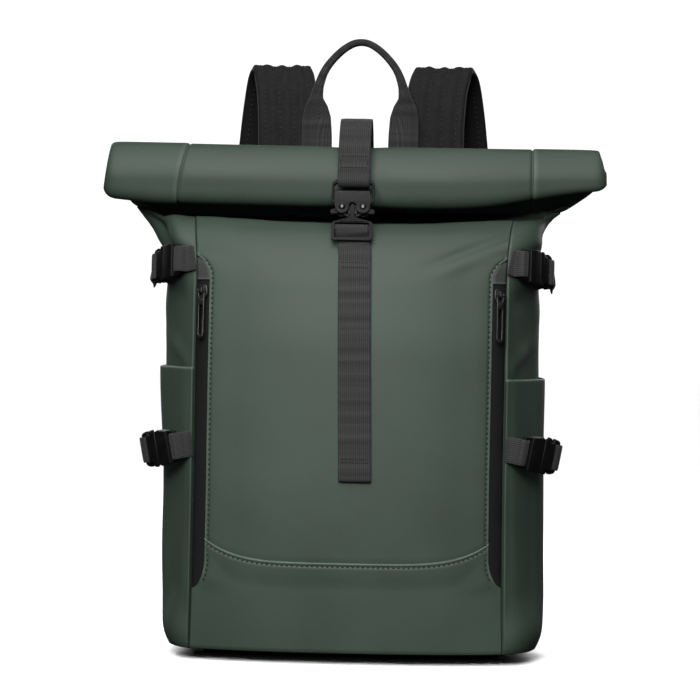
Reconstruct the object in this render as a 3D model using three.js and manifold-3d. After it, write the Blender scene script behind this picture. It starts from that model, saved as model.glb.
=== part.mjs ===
// Roll-top backpack standing on its base. Millimetres, +Z up; the front pocket faces -Y, the wearer's back
// is on the +Y side, and the origin is the middle of the base.
// The bag is a sewn tube of coated cloth: front panel, gussets, padded back panel and base. The tube's mouth
// is pressed flat and rolled forward, and a webbing strap with a metal buckle holds the roll down.

import * as THREE from 'three';
import { mergeVertices } from 'three/addons/utils/BufferGeometryUtils.js';
import Module from 'manifold-3d';

const wasm = await Module();
wasm.setup();

// Driving dimensions
const CLOTH = 2; // coated cloth with its lining
const BACK_PAD = 8; // foam-filled back panel
const WEBBING = 1.6; // thickness of every webbing strap
const GAP = 0.3; // clearance between neighbouring pieces
const FOOT_RADIUS = 10; // rounding between the walls and the base
const BASE_THICKNESS = 3;
const SEAM_Z = 96; // side ends of the curved seam on the front
const SEAM_DIP = 19; // how far that seam drops in the middle
const NECK_Z = 346; // here the walls end and the rolled mouth begins
const SHEET_Z = 362; // here the two layers of the mouth lie flat on each other
const ROLL_TOP_Z = 404; // top line of the roll at its middle
const ROLL_LIFT = 3; // how much higher the left-hand end lies
const ROLL_RADIUS = 21; // middle of the outermost turn
const ROLL_PITCH = 6.5; // how much each turn is smaller than the one outside it
const ROLL_TURN = 585; // degrees
const ROLL_END_ROUND = 6; // how far the ends' upper and lower edges draw in
const ROLL_SLIM = 0.26; // share of the radius that the right-hand end loses
const ROLL_SLIM_FROM = 60; // x where the slimming starts
const MOUTH_HALF = 199; // reach of the roll's left-hand end
const CLOSURE_WIDTH = 25;
const SIDE_WIDTH = 20;
const HANDLE_WEBBING = 25;
const PAD_WIDTH = 49; // shoulder strap
const PAD_THICKNESS = 10;

// The tube, one row for each height. front and back are the y of the middle of the panels; frontHalf and
// backHalf the x of the sewn corners; left and right the reach of the gussets' ridges, which differ where the
// mouth folds; crown how far the front corners lie behind the middle; ridge the gusset's exponent: 2 is an
// ellipse, 1 a straight fold, 6 a flat double layer.
const TUBE = table(
  ['z', 'front', 'back', 'frontHalf', 'backHalf', 'left', 'right', 'crown', 'ridge'],
  [0, -62, 57, 122, 137, 145, 151, 14, 2.2],
  [60, -68, 60, 120.5, 139, 146.5, 152.3, 17, 2.2],
  [150, -72, 62, 119.8, 140, 147, 149.5, 19, 2.1],
  [240, -70, 62, 120, 140, 148.5, 147, 19, 2],
  [290, -63, 62, 120.2, 139, 147.5, 145, 17, 1.9],
  [316, -54, 61, 121, 138, 149.5, 145, 12, 1.7],
  [332, -43, 58, 122.5, 137, 157, 145.5, 8, 1.5],
  [346, -17, 46, 125.5, 137, 170, 154, 4, 1.4],
  [354, 5, 33, 131, 138, 177, 164, 2, 1.6],
  [362, 16.4, 20.4, 139, 139, 184, 176, 0, 6],
  [376, 16.4, 20.4, 139, 139, 197, 195, 0, 6],
  [404, 16.4, 20.4, 139, 139, 199, 198, 0, 6],
);
const FRONT_CROWN_POWER = 2.6;
const BACK_CROWN_SHARE = 0.25;

const COLOURS = {
  cloth: { color: 0x4d5a51, roughness: 0.55, metalness: 0 },
  webbing: { color: 0x2b2b2b, roughness: 0.8, metalness: 0 },
  zip: { color: 0x161817, roughness: 0.45, metalness: 0 },
  plastic: { color: 0x151515, roughness: 0.4, metalness: 0 },
  metal: { color: 0x2c2c2c, roughness: 0.4, metalness: 0.7 },
  pad: { color: 0x232323, roughness: 0.85, metalness: 0 },
};

// Small helpers
function table(columns, ...rows) {
  return rows.map((row) => Object.fromEntries(columns.map((name, i) => [name, row[i]])));
}

const vec = (x, y, z) => new THREE.Vector3(x, y, z);
const mix = (a, b, t) => a + (b - a) * t;
const clamp01 = (t) => Math.min(1, Math.max(0, t));
const smooth = (low, high, x) => {
  const t = clamp01((x - low) / (high - low));
  return t * t * (3 - 2 * t);
};
const steps = (from, to, count) => Array.from({ length: count + 1 }, (_, i) => mix(from, to, i / count));

// The value of one column between the rows of a table, on a curve that never overshoots them.
function lookUp(rows, key, at, column) {
  const last = rows.length - 1;
  const i = Math.min(Math.max(rows.findIndex((row) => row[key] >= at) - 1, 0), last - 1);
  const slope = (k) => (rows[k + 1][column] - rows[k][column]) / (rows[k + 1][key] - rows[k][key]);
  const tangent = (k) => {
    if (k === 0) return slope(0);
    if (k === last) return slope(last - 1);
    const [before, after] = [slope(k - 1), slope(k)];
    return before * after <= 0 ? 0 : (2 * before * after) / (before + after);
  };
  const span = rows[i + 1][key] - rows[i][key];
  const t = clamp01((at - rows[i][key]) / span);
  const [a, b] = [rows[i][column], rows[i + 1][column]];
  const rise = b - a;
  const bend = tangent(i) * span - rise;
  const unbend = rise - tangent(i + 1) * span;
  return a + rise * t + t * (1 - t) * (bend * (1 - t) + unbend * t);
}

// A closed geometry from shared vertices and triangles, turned so that its faces point out.
function closedGeometry(points, triangles) {
  let volume = 0;
  for (const [a, b, c] of triangles) volume += points[a].dot(points[b].clone().cross(points[c]));
  const index = triangles.flatMap(([a, b, c]) => (volume < 0 ? [a, c, b] : [a, b, c]));
  const geometry = new THREE.BufferGeometry().setFromPoints(points).setIndex(index);
  geometry.computeVertexNormals();
  return geometry;
}

// A wall between two grids of points of the same size, closed round its four edges.
function wall(outer, inner) {
  const [rows, columns] = [outer.length, outer[0].length];
  const points = [...outer.flat(), ...inner.flat()];
  const at = (i, j) => i * columns + j;
  const behind = rows * columns;
  const triangles = [];
  for (let i = 0; i + 1 < rows; i++) {
    for (let j = 0; j + 1 < columns; j++) {
      const [a, b, c, d] = [at(i, j), at(i, j + 1), at(i + 1, j + 1), at(i + 1, j)];
      const [e, f, g, h] = [a, b, c, d].map((k) => k + behind);
      triangles.push([a, b, c], [a, c, d], [e, g, f], [e, h, g]);
    }
  }
  const rim = [];
  const [bottom, side] = [rows - 1, columns - 1];
  for (let j = 0; j < side; j++) rim.push([at(0, j), at(0, j + 1)], [at(bottom, j + 1), at(bottom, j)]);
  for (let i = 0; i < bottom; i++) rim.push([at(i, side), at(i + 1, side)], [at(i + 1, 0), at(i, 0)]);
  for (const [p, q] of rim) triangles.push([q, p, p + behind], [q, p + behind, q + behind]);
  return closedGeometry(points, triangles);
}

// A solid through loops of the same number of points, with a fan over each end.
function loft(loops) {
  const count = loops[0].length;
  const points = loops.flat();
  const triangles = [];
  for (let k = 0; k + 1 < loops.length; k++) {
    for (let i = 0; i < count; i++) {
      const [a, b] = [k * count + i, k * count + ((i + 1) % count)];
      triangles.push([a, b, b + count], [a, b + count, a + count]);
    }
  }
  for (const [k, first] of [[0, true], [loops.length - 1, false]]) {
    const middle = points.length;
    points.push(loops[k].reduce((sum, p) => sum.add(p), vec(0, 0, 0)).divideScalar(count));
    for (let i = 0; i < count; i++) {
      const [a, b] = [k * count + i, k * count + ((i + 1) % count)];
      triangles.push(first ? [middle, b, a] : [middle, a, b]);
    }
  }
  return closedGeometry(points, triangles);
}

// A section carried along a path. across(i) is the direction of the section's width at point i of the path,
// and section(share) its points as [along the width, along the normal].
function sweep(path, across, section) {
  const last = path.length - 1;
  const loops = path.map((p, i) => {
    const along = path[Math.min(i + 1, last)].clone().sub(path[Math.max(i - 1, 0)]).normalize();
    const wide = across(i).clone();
    wide.addScaledVector(along, -wide.dot(along)).normalize();
    const normal = along.clone().cross(wide);
    return section(i / last).map(([w, n]) => p.clone().addScaledVector(wide, w).addScaledVector(normal, n));
  });
  return loft(loops);
}

const rectangle = (width, thickness) => [[-1, -1], [1, -1], [1, 1], [-1, 1]]
  .map(([w, n]) => [(w * width) / 2, (n * thickness) / 2]);
const ribbon = (path, across, width) => sweep(path, across, () => rectangle(width, WEBBING));
const level = () => vec(1, 0, 0);
const curveThrough = (points, count) => {
  const curve = new THREE.CatmullRomCurve3(points, false, 'centripetal');
  return curve.getPoints(count);
};

// Boolean work on closed geometries
function solidOf(geometry) {
  const bare = geometry.clone();
  bare.deleteAttribute('normal');
  bare.deleteAttribute('uv');
  const merged = mergeVertices(bare.index ? bare.toNonIndexed() : bare, 1e-4);
  const vertProperties = new Float32Array(merged.attributes.position.array);
  const triVerts = new Uint32Array(merged.index.array);
  return new wasm.Manifold(new wasm.Mesh({ numProp: 3, vertProperties, triVerts }));
}

function geometryOf(solid) {
  const { vertProperties, triVerts } = solid.getMesh();
  const geometry = new THREE.BufferGeometry();
  geometry.setAttribute('position', new THREE.BufferAttribute(new Float32Array(vertProperties), 3));
  geometry.setIndex(new THREE.BufferAttribute(new Uint32Array(triVerts), 1));
  geometry.computeVertexNormals();
  return geometry;
}

const join = (...geometries) => geometryOf(geometries.map(solidOf).reduce((sum, next) => sum.add(next)));
const cut = (geometry, ...tools) => {
  const rest = tools.map(solidOf).reduce((left, tool) => left.subtract(tool), solidOf(geometry));
  return geometryOf(rest);
};

// A flat plate of an outline in x and y, from z = low to z = high.
function plate(shape, low, high, curveSegments = 5) {
  const settings = { depth: high - low, bevelEnabled: false, curveSegments };
  return new THREE.ExtrudeGeometry(shape, settings).translate(0, 0, low);
}

function box(low, high) {
  const geometry = new THREE.BoxGeometry(high[0] - low[0], high[1] - low[1], high[2] - low[2]);
  return geometry.translate((low[0] + high[0]) / 2, (low[1] + high[1]) / 2, (low[2] + high[2]) / 2);
}

function roundedRectangle(x0, y0, x1, y1, r, path = new THREE.Shape()) {
  path.moveTo(x0 + r, y0);
  path.lineTo(x1 - r, y0);
  path.absarc(x1 - r, y0 + r, r, -Math.PI / 2, 0);
  path.lineTo(x1, y1 - r);
  path.absarc(x1 - r, y1 - r, r, 0, Math.PI / 2);
  path.lineTo(x0 + r, y1);
  path.absarc(x0 + r, y1 - r, r, Math.PI / 2, Math.PI);
  path.lineTo(x0, y0 + r);
  path.absarc(x0 + r, y0 + r, r, Math.PI, Math.PI * 1.5);
  return path;
}

const slot = (x0, y0, x1, y1) => {
  const corners = [[x0, y0], [x1, y0], [x1, y1], [x0, y1]];
  return new THREE.Path(corners.map((p) => new THREE.Vector2(...p)));
};

const bag = new THREE.Group();
bag.name = 'roll_top_backpack';

function add(parent, name, geometry, finish) {
  const mesh = new THREE.Mesh(geometry, new THREE.MeshStandardMaterial(COLOURS[finish]));
  mesh.name = name;
  parent.add(mesh);
  return mesh;
}

// The right-hand pieces, and the same ones mirrored for the left.
function bothSides(make) {
  for (const side of ['right', 'left']) {
    const half = new THREE.Group();
    half.scale.x = side === 'left' ? -1 : 1;
    bag.add(half);
    make(half, side);
  }
}

// The tube's surface. a runs once round it: 0 to 1 across the front, to 2 over the right gusset, to 3 across
// the back, and to 4 over the left gusset. hand says whose ridge a gusset takes; by itself it takes its own.
function tubePoint(a, z, hand) {
  const turn = ((a % 4) + 4) % 4;
  const value = (column) => lookUp(TUBE, 'z', z, column);
  const inset = z < FOOT_RADIUS ? FOOT_RADIUS - Math.sqrt(FOOT_RADIUS ** 2 - (FOOT_RADIUS - z) ** 2) : 0;
  const crown = value('crown');
  const [front, back] = [value('front') + inset, value('back') - inset];
  const [frontHalf, backHalf] = [value('frontHalf') - inset, value('backHalf') - inset];
  if (turn <= 1) {
    const s = 2 * turn - 1;
    return vec(s * frontHalf, front + crown * Math.abs(s) ** FRONT_CROWN_POWER, z);
  }
  if (turn >= 2 && turn <= 3) {
    const s = 5 - 2 * turn;
    return vec(s * backHalf, back - crown * BACK_CROWN_SHARE * Math.abs(s) ** FRONT_CROWN_POWER, z);
  }
  const t = turn < 2 ? turn - 1 : 4 - turn;
  const [frontY, backY] = [front + crown, back - crown * BACK_CROWN_SHARE];
  const [cornerX, cornerY] = t < 0.5 ? [frontHalf, frontY] : [backHalf, backY];
  const middleY = (frontY + backY) / 2;
  const reach = Math.sin(Math.PI * t);
  const ridge = value('ridge');
  const x = mix(cornerX, value(hand ?? (turn < 2 ? 'right' : 'left')) - inset, reach);
  const y = mix(middleY, cornerY, (1 - reach ** ridge) ** (1 / ridge));
  return vec(turn < 2 ? x : -x, y, z);
}

function tubeNormal(a, z, hand) {
  const [da, dz] = [0.015, 0.2];
  const here = tubePoint(a, z, hand);
  const ahead = tubePoint(a + da, z, hand).sub(here).normalize();
  const behind = here.clone().sub(tubePoint(a - da, z, hand)).normalize();
  const up = tubePoint(a, z + dz, hand).sub(tubePoint(a, Math.max(0, z - dz), hand));
  return ahead.add(behind).cross(up).normalize();
}

const onTube = (a, z, out, hand) => tubePoint(a, z, hand).addScaledVector(tubeNormal(a, z, hand), out);

// A wall that follows the tube. place(u, v) gives [a, z]; low(u, v) and high(u, v) how far its two faces
// stand out.
function skin(us, vs, place, low, high, hand) {
  const grid = (out) => vs.map((v) => us.map((u) => onTube(...place(u, v), out(u, v), hand)));
  return wall(grid(high), grid(low));
}

// Cloth body
const FOOT_ROWS = [0, 2, 5];
const POCKET_ROWS = [FOOT_RADIUS, 50, 100, 150, 195, 225];
const UPPER_ROWS = [262, 290, 308, 320, 330, 338, NECK_Z];
const GUSSET_COLUMNS = [1, 1.06, 1.125, 1.25, 1.375, 1.5, 1.625, 1.75, 1.875, 1.94, 2];
const FRONT_COLUMNS = [0, 0.035, 0.1, 0.22, 0.36, 0.5, 0.64, 0.78, 0.9, 0.965, 1];
const SEAM = GAP / 2; // each piece stands back this far from a seam
const shrink = (columns, width) => columns.map((a, i) => {
  const share = SEAM / width;
  if (i === 0) return a + share;
  return i === columns.length - 1 ? a - share : a;
});

// The front seam is level at its ends' height near the corners and dips in the middle.
const seamSag = (a, z) => {
  const s = Math.abs(2 * a - 1) / 0.94;
  const reach = z < SEAM_Z ? smooth(FOOT_RADIUS, SEAM_Z, z) : 1 - smooth(SEAM_Z, SEAM_Z + 80, z);
  return SEAM_DIP * Math.max(0, 1 - s ** 5) * reach;
};
const onFront = (a, z) => [a, z - seamSag(a, z)];

function addBody() {
  const inward = () => -CLOTH;
  const flush = () => 0;
  const frontColumns = shrink(FRONT_COLUMNS, 250);
  const gussetColumns = shrink(GUSSET_COLUMNS, 120);
  const footRows = [...FOOT_ROWS, FOOT_RADIUS, 36, 64, SEAM_Z - SEAM];
  const panelRows = [SEAM_Z + SEAM, 120, 150, 190, 230, ...UPPER_ROWS];
  const wallRows = [...FOOT_ROWS, ...POCKET_ROWS, ...UPPER_ROWS];
  add(bag, 'front_foot', skin(frontColumns, footRows, onFront, inward, flush), 'cloth');
  add(bag, 'front_panel', skin(frontColumns, panelRows, onFront, inward, flush), 'cloth');
  const backColumns = shrink([2, 2.04, 2.16, 2.33, 2.5, 2.67, 2.84, 2.96, 3], 120);
  const padding = (a, z) => {
    const inside = Math.min((a - 2) / 0.04, (3 - a) / 0.04, (z - FOOT_RADIUS) / 25, (NECK_Z - z) / 25);
    return -mix(CLOTH, BACK_PAD, smooth(0.1, 1, inside));
  };
  add(bag, 'back_panel', skin(backColumns, wallRows, (a, z) => [a, z], padding, flush), 'pad');
  bothSides((half, side) => {
    const gusset = skin(gussetColumns, wallRows, (a, z) => [a, z], inward, flush, side);
    add(half, `gusset_${side}`, gusset, 'cloth');
  });
  const outline = [...FRONT_COLUMNS, ...GUSSET_COLUMNS, 2.5, ...GUSSET_COLUMNS.map((a) => a + 2)]
    .map((a) => onTube(a, 0, 0))
    .filter((p, i, all) => i === 0 || p.distanceTo(all[i - 1]) > 0.01)
    .map((p) => {
      const inwards = vec(-p.x, -p.y, 0).normalize();
      return new THREE.Vector2(p.x + 2 * GAP * inwards.x, p.y + 2 * GAP * inwards.y);
    });
  outline.pop();
  add(bag, 'base_panel', plate(new THREE.Shape(outline), 0, BASE_THICKNESS), 'cloth');
}

// The rolled mouth: the hollow neck, the flat double layer that rises behind the roll, and the roll itself.
function rollPoint(a, degrees) {
  const flat = tubePoint(a, ROLL_TOP_Z);
  const sheetY = (lookUp(TUBE, 'z', ROLL_TOP_Z, 'front') + lookUp(TUBE, 'z', ROLL_TOP_Z, 'back')) / 2;
  const out = flat.y - sheetY;
  const slim = 1 - ROLL_SLIM * smooth(ROLL_SLIM_FROM, MOUTH_HALF, flat.x);
  const lift = ROLL_LIFT * smooth(0, MOUTH_HALF, -flat.x);
  const outer = ROLL_RADIUS * slim;
  const radius = outer - (ROLL_PITCH * slim * degrees) / 360 + out;
  const angle = THREE.MathUtils.degToRad(degrees);
  const sheetHalf = 2;
  const [middleY, middleZ] = [sheetY - outer, ROLL_TOP_Z + lift - outer - sheetHalf];
  const drawnIn = ROLL_END_ROUND * smooth(150, MOUTH_HALF, Math.abs(flat.x)) * Math.sin(angle) ** 4;
  const x = flat.x - Math.sign(flat.x) * drawnIn;
  return vec(x, middleY + radius * Math.cos(angle), middleZ + radius * Math.sin(angle));
}

function addRoll() {
  const columns = [0, 0.25, 0.5, 0.75, ...steps(1, 2, 8), 2.25, 2.5, 2.75, ...steps(3, 4, 8).slice(0, -1)];
  const start = NECK_Z + 3 * GAP;
  const loop = (z, out) => columns.map((a) => onTube(a, z, out));
  const pocketTop = columns.map((a) => {
    const p = onTube(a, 354, -CLOTH);
    const middle = 18.5;
    return vec(p.x * 0.97, mix(middle, p.y, 0.3), 357.5);
  });
  const hollow = [pocketTop, loop(353, -CLOTH), loop(349.5, -CLOTH), loop(start, -CLOTH)];
  const neck = [start, 350, 354, 358, SHEET_Z, 370].map((z) => loop(z, 0));
  const turns = steps(0, ROLL_TURN, 26).map((degrees) => columns.map((a) => rollPoint(a, degrees)));
  add(bag, 'roll_top', loft([...hollow, ...neck, ...turns]), 'cloth');
}

// Bottle pockets: flat on the gussets, standing a little off them at the mouth
const POCKET = { wall: 1.6, stand: 4 };

function addPockets() {
  const columns = GUSSET_COLUMNS.slice(1, -1);
  const [low, high] = [POCKET_ROWS[0], POCKET_ROWS[POCKET_ROWS.length - 1]];
  const across = (a) => (a - columns[0]) / (columns[columns.length - 1] - columns[0]);
  const bulge = (a, z) => {
    const slack = smooth(mix(low, high, 0.55), high, z) * Math.sin(Math.PI * across(a)) ** 0.6;
    return GAP + POCKET.stand * slack;
  };
  bothSides((half, side) => {
    const outside = (a, z) => bulge(a, z) + POCKET.wall;
    const geometry = skin(columns, POCKET_ROWS, (a, z) => [a, z], bulge, outside, side);
    add(half, `side_pocket_${side}`, geometry, 'cloth');
  });
}

// Covered zips along the edges of the front panel, each narrowing to a point at its foot
const ZIP = { low: 54, high: 294, thick: 1.2, outer: 0.995, inner: 0.952, sliderZ: 286 };
const zipFoot = (z) => smooth(ZIP.low, ZIP.low + 62, z) ** 0.6;
const zipHead = (z) => Math.sqrt(clamp01((ZIP.high + 12 - z) / 24));

function addZips() {
  const heights = [54.2, 58, 66, 78, 92, 116, 150, 190, 230, 262, 280, 289, ZIP.high];
  const inner = (z) => mix(ZIP.outer - 0.004, ZIP.inner, Math.min(zipFoot(z), zipHead(z)));
  const place = (u, z) => [mix(inner(z), ZIP.outer, u), z];
  bothSides((half, side) => {
    const tape = skin(steps(0, 1, 3), heights, place, () => GAP, () => GAP + ZIP.thick);
    add(half, `zip_tape_${side}`, tape, 'zip');
    addSlider(half, side);
  });
}

// Slider with a lug and a cross pin, and a forked pull that hangs on the pin. Local x runs across the zip,
// y up it and z out of the bag.
const SLIDER = { halfWidth: 4.2, halfLength: 5, thick: 2, lug: 1.1, pinZ: 4.1, pin: 0.8, pinReach: 3.4 };
const PULL = {
  length: 37, halfWidth: 3.4, thick: 1.8, legInner: 1.5, legTop: 1.4, knuckle: 1.75, eye: 1.05,
};

function frameOnTube(a, z, out) {
  const normal = tubeNormal(a, z);
  const up = tubePoint(a, z + 1).sub(tubePoint(a, z - 1)).normalize();
  const across = up.clone().cross(normal).normalize();
  const frame = new THREE.Group();
  frame.matrix.makeBasis(across, normal.clone().cross(across), normal);
  frame.matrix.setPosition(onTube(a, z, out));
  frame.matrix.decompose(frame.position, frame.quaternion, frame.scale);
  return frame;
}

function pinAlongX(radius, half, y, z, sides = 10) {
  const geometry = new THREE.CylinderGeometry(radius, radius, 2 * half, sides);
  return geometry.rotateZ(Math.PI / 2).translate(0, y, z);
}

function addSlider(half, side) {
  const middle = (ZIP.outer + ZIP.inner) / 2;
  const frame = frameOnTube(middle, ZIP.sliderZ, GAP + ZIP.thick + GAP);
  half.add(frame);
  const { halfWidth, halfLength, thick, lug, pinZ, pin, pinReach } = SLIDER;
  const body = plate(roundedRectangle(-halfWidth, -halfLength, halfWidth, halfLength, 1.5), 0, thick, 3);
  const ear = box([-lug, -2, thick - 0.5], [lug, 3, pinZ + 1.2]);
  add(frame, `zip_slider_${side}`, join(body, ear, pinAlongX(pin, pinReach, 0, pinZ)), 'metal');
  const tab = new THREE.Shape();
  tab.moveTo(-PULL.halfWidth, PULL.legTop);
  tab.lineTo(-PULL.halfWidth * 0.85, -PULL.length + 2);
  tab.absarc(0, -PULL.length + 2, PULL.halfWidth * 0.85, Math.PI, 2 * Math.PI);
  tab.lineTo(PULL.halfWidth, PULL.legTop);
  tab.lineTo(PULL.legInner, PULL.legTop);
  tab.lineTo(PULL.legInner, -4.6);
  tab.lineTo(-PULL.legInner, -4.6);
  tab.lineTo(-PULL.legInner, PULL.legTop);
  const blank = plate(tab, pinZ - PULL.thick / 2, pinZ + PULL.thick / 2, 4);
  const knuckle = (PULL.halfWidth - PULL.legInner) / 2;
  const legs = [-1, 1].map((sign) => {
    return pinAlongX(PULL.knuckle, knuckle, 0, pinZ).translate(sign * (PULL.legInner + knuckle), 0, 0);
  });
  const pull = cut(join(blank, ...legs), pinAlongX(PULL.eye, 6, 0, pinZ));
  add(frame, `zip_pull_${side}`, pull, 'metal');
}

// Closure buckle. Local x runs across it, y up along the strap and z out of the bag; its origin is the middle
// of the line between the two rivets.
const BUCKLE = { y: -43, z: 352, lean: 25, rivetX: 8.1, plateIn: 2.2, plateOut: 4, layer: 1.7 };
const FRAME = { half: 16.8, wire: 2, top: 25.3, bar: 3.4, foot: 3.6 };
const TONGUE = {
  neck: 2.4, head: 3.6, headLow: -4.9, headHigh: 2.2, shoulder: -8, half: 16, foot: -27.6, wall: 3,
};
const STRAP_BAR = -17.3; // y of the bar that the lower strap wraps
const lean = THREE.MathUtils.degToRad(BUCKLE.lean);

// A point of the buckle's middle plane, given up along the strap and out of the bag.
const onBuckle = (up, out) => vec(
  0,
  BUCKLE.y + up * Math.sin(lean) - out * Math.cos(lean),
  BUCKLE.z + up * Math.cos(lean) + out * Math.sin(lean),
);

function housingOutline() {
  const shape = new THREE.Shape();
  const lobe = 5.4;
  shape.moveTo(12.8, 13.8);
  shape.lineTo(-12.8, 13.8);
  shape.lineTo(-14.2, 5);
  shape.lineTo(-BUCKLE.rivetX - lobe, 0);
  shape.absarc(-BUCKLE.rivetX, 0, lobe, Math.PI, 2 * Math.PI);
  shape.lineTo(-2.2, 2.6);
  shape.lineTo(0, 4);
  shape.lineTo(2.2, 2.6);
  shape.absarc(BUCKLE.rivetX, 0, lobe, Math.PI, 2 * Math.PI);
  shape.lineTo(14.2, 5);
  return shape;
}

function rivet(x, radius, low, high) {
  const geometry = new THREE.CylinderGeometry(radius, radius, high - low, 8).rotateX(Math.PI / 2);
  return geometry.translate(x, 0, (low + high) / 2);
}

function housing() {
  const { plateIn, plateOut, layer, rivetX } = BUCKLE;
  const ring = roundedRectangle(-FRAME.half, FRAME.foot, FRAME.half, FRAME.top, 4);
  const inside = FRAME.half - FRAME.wire;
  const [low, high] = [FRAME.foot + 2.6, FRAME.top - FRAME.bar];
  ring.holes.push(roundedRectangle(-inside, low, inside, high, 2, new THREE.Path()));
  const rivets = [-rivetX, rivetX].flatMap((x) => [
    rivet(x, 1.5, -plateOut, plateOut),
    rivet(x, 2.2, plateOut - 0.5, plateOut + 0.7),
  ]);
  return join(
    plate(housingOutline(), plateIn, plateOut),
    plate(housingOutline(), -plateOut, -plateIn),
    plate(ring, -layer, layer, 3),
    box([-12.4, 5, -plateOut + 0.5], [12.4, 13.4, plateOut - 0.5]),
    ...rivets,
  );
}

// One lever, drawn for the right-hand rivet: an eye, a wing to press and a hook under the tongue's head.
function lever() {
  const x = BUCKLE.rivetX;
  const shape = new THREE.Shape();
  shape.moveTo(x - 3.2, 0);
  shape.lineTo(x - 4, -5.1);
  shape.lineTo(x - 5.3, -5.3);
  shape.lineTo(x - 5.3, -7);
  shape.lineTo(x - 2.8, -6.6);
  shape.lineTo(x + 1, -4.2);
  shape.lineTo(x + 8.4, -4.6);
  shape.lineTo(x + 9.2, -3);
  shape.lineTo(x + 8.2, -0.9);
  shape.lineTo(x + 3.2, 0);
  shape.absarc(x, 0, 3.2, 0, Math.PI);
  const eye = new THREE.Path();
  eye.absarc(x, 0, 1.9, 0, 2 * Math.PI);
  shape.holes.push(eye);
  return plate(shape, -BUCKLE.layer + GAP / 2, BUCKLE.layer - GAP / 2, 6);
}

function tongue() {
  const { neck, head, headLow, headHigh, shoulder, half, foot, wall: rail } = TONGUE;
  const shape = new THREE.Shape();
  shape.moveTo(-head, headLow);
  shape.lineTo(-head, headHigh - 1.6);
  shape.lineTo(-head + 1.6, headHigh);
  shape.lineTo(head - 1.6, headHigh);
  shape.lineTo(head, headHigh - 1.6);
  shape.lineTo(head, headLow);
  shape.lineTo(neck, headLow);
  shape.lineTo(neck, shoulder);
  shape.lineTo(half - 4, shoulder - 2.6);
  shape.lineTo(half, shoulder - 5);
  shape.lineTo(half, foot + 2.5);
  shape.lineTo(half - 2.5, foot);
  shape.lineTo(-half + 2.5, foot);
  shape.lineTo(-half, foot + 2.5);
  shape.lineTo(-half, shoulder - 5);
  shape.lineTo(-half + 4, shoulder - 2.6);
  shape.lineTo(-neck, shoulder);
  shape.lineTo(-neck, headLow);
  shape.holes.push(slot(-half + rail, foot + 2.8, half - rail, shoulder - 4.6));
  const bar = pinAlongX(1.4, half - rail + 0.5, STRAP_BAR, 0, 8);
  return join(plate(shape, -1.5, 1.5, 3), bar);
}

function addBuckle() {
  const group = new THREE.Group();
  group.position.set(0, BUCKLE.y, BUCKLE.z);
  group.rotation.x = Math.PI / 2 - lean;
  bag.add(group);
  add(group, 'buckle_housing', housing(), 'metal');
  add(group, 'buckle_tongue', tongue(), 'metal');
  add(group, 'buckle_lever_right', lever(), 'metal');
  add(group, 'buckle_lever_left', lever(), 'metal').scale.x = -1;
}

// Points round a bar, from one angle to another, in the plane of up and out.
const roundBar = (up, out, radius, from, to, count) => steps(from, to, count).map((degrees) => {
  const angle = THREE.MathUtils.degToRad(degrees);
  return onBuckle(up + radius * Math.sin(angle), out + radius * Math.cos(angle));
});

// Over the roll from the back panel to the buckle's top bar, round it and up behind itself to its stitching
function addUpperStrap() {
  const barUp = FRAME.top - FRAME.bar / 2;
  const turn = Math.hypot(FRAME.bar / 2, BUCKLE.layer) + GAP + WEBBING / 2;
  const outside = lookUp(TUBE, 'z', 300, 'back') + GAP + WEBBING / 2;
  const side = [
    [outside, 296], [outside, 318], [59, 345], [49, 375], [34, 405], [18, 421], [7, 424.6], [-5, 422],
    [-17, 413], [-28, 398],
  ].map(([y, z]) => vec(0, y, z));
  const over = curveThrough([...side, onBuckle(barUp + 9, turn), onBuckle(barUp, turn)], 30);
  const wrap = roundBar(barUp, 0, turn, 0, -180, 6).slice(1);
  const foldedBack = [onBuckle(barUp + 8, -turn + 0.9), onBuckle(barUp + 14, -turn + 3)];
  const path = [...over, ...wrap, ...foldedBack];
  add(bag, 'closure_strap_upper', ribbon(path, level, CLOSURE_WIDTH), 'webbing');
}

// From its anchor on the front panel up round the tongue's bar, down behind the foot bar, and the long tail
const TAIL = { anchorZ: 303, end: 138.5, hem: 13, stand: 3.2 };

function addLowerStrap() {
  const turn = 1.4 + 1.5 * GAP + WEBBING / 2;
  const off = GAP + WEBBING / 2;
  const onPanel = (z, out) => onTube(0.5, z, out);
  const anchor = [
    onPanel(TAIL.anchorZ, off),
    onPanel(312, off),
    onPanel(320, off + 0.2),
    onBuckle(-25.4, -5.2),
    onBuckle(-21.4, -4.3),
  ];
  const wrap = roundBar(STRAP_BAR, 0, turn, 180, 10, 7);
  const through = [onBuckle(-20.4, 0.9), onBuckle(-23, -1.7), onBuckle(-25, -2.9), onBuckle(-28, -3)];
  const heights = [314, 300, 280, 255, 230, 205, 180, 160, TAIL.end + 4, TAIL.end + 1];
  const tail = heights.map((z) => onPanel(z, TAIL.stand));
  const hem = [
    onPanel(TAIL.end, (TAIL.stand + off) / 2),
    onPanel(TAIL.end + 1, off),
    onPanel(TAIL.end + 4, off - 0.1),
    onPanel(TAIL.end + TAIL.hem, off - 0.1),
  ];
  const path = [...anchor, ...wrap, ...through, ...tail, ...hem];
  add(bag, 'closure_strap_lower', ribbon(path, level, CLOSURE_WIDTH), 'webbing');
}

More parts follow.
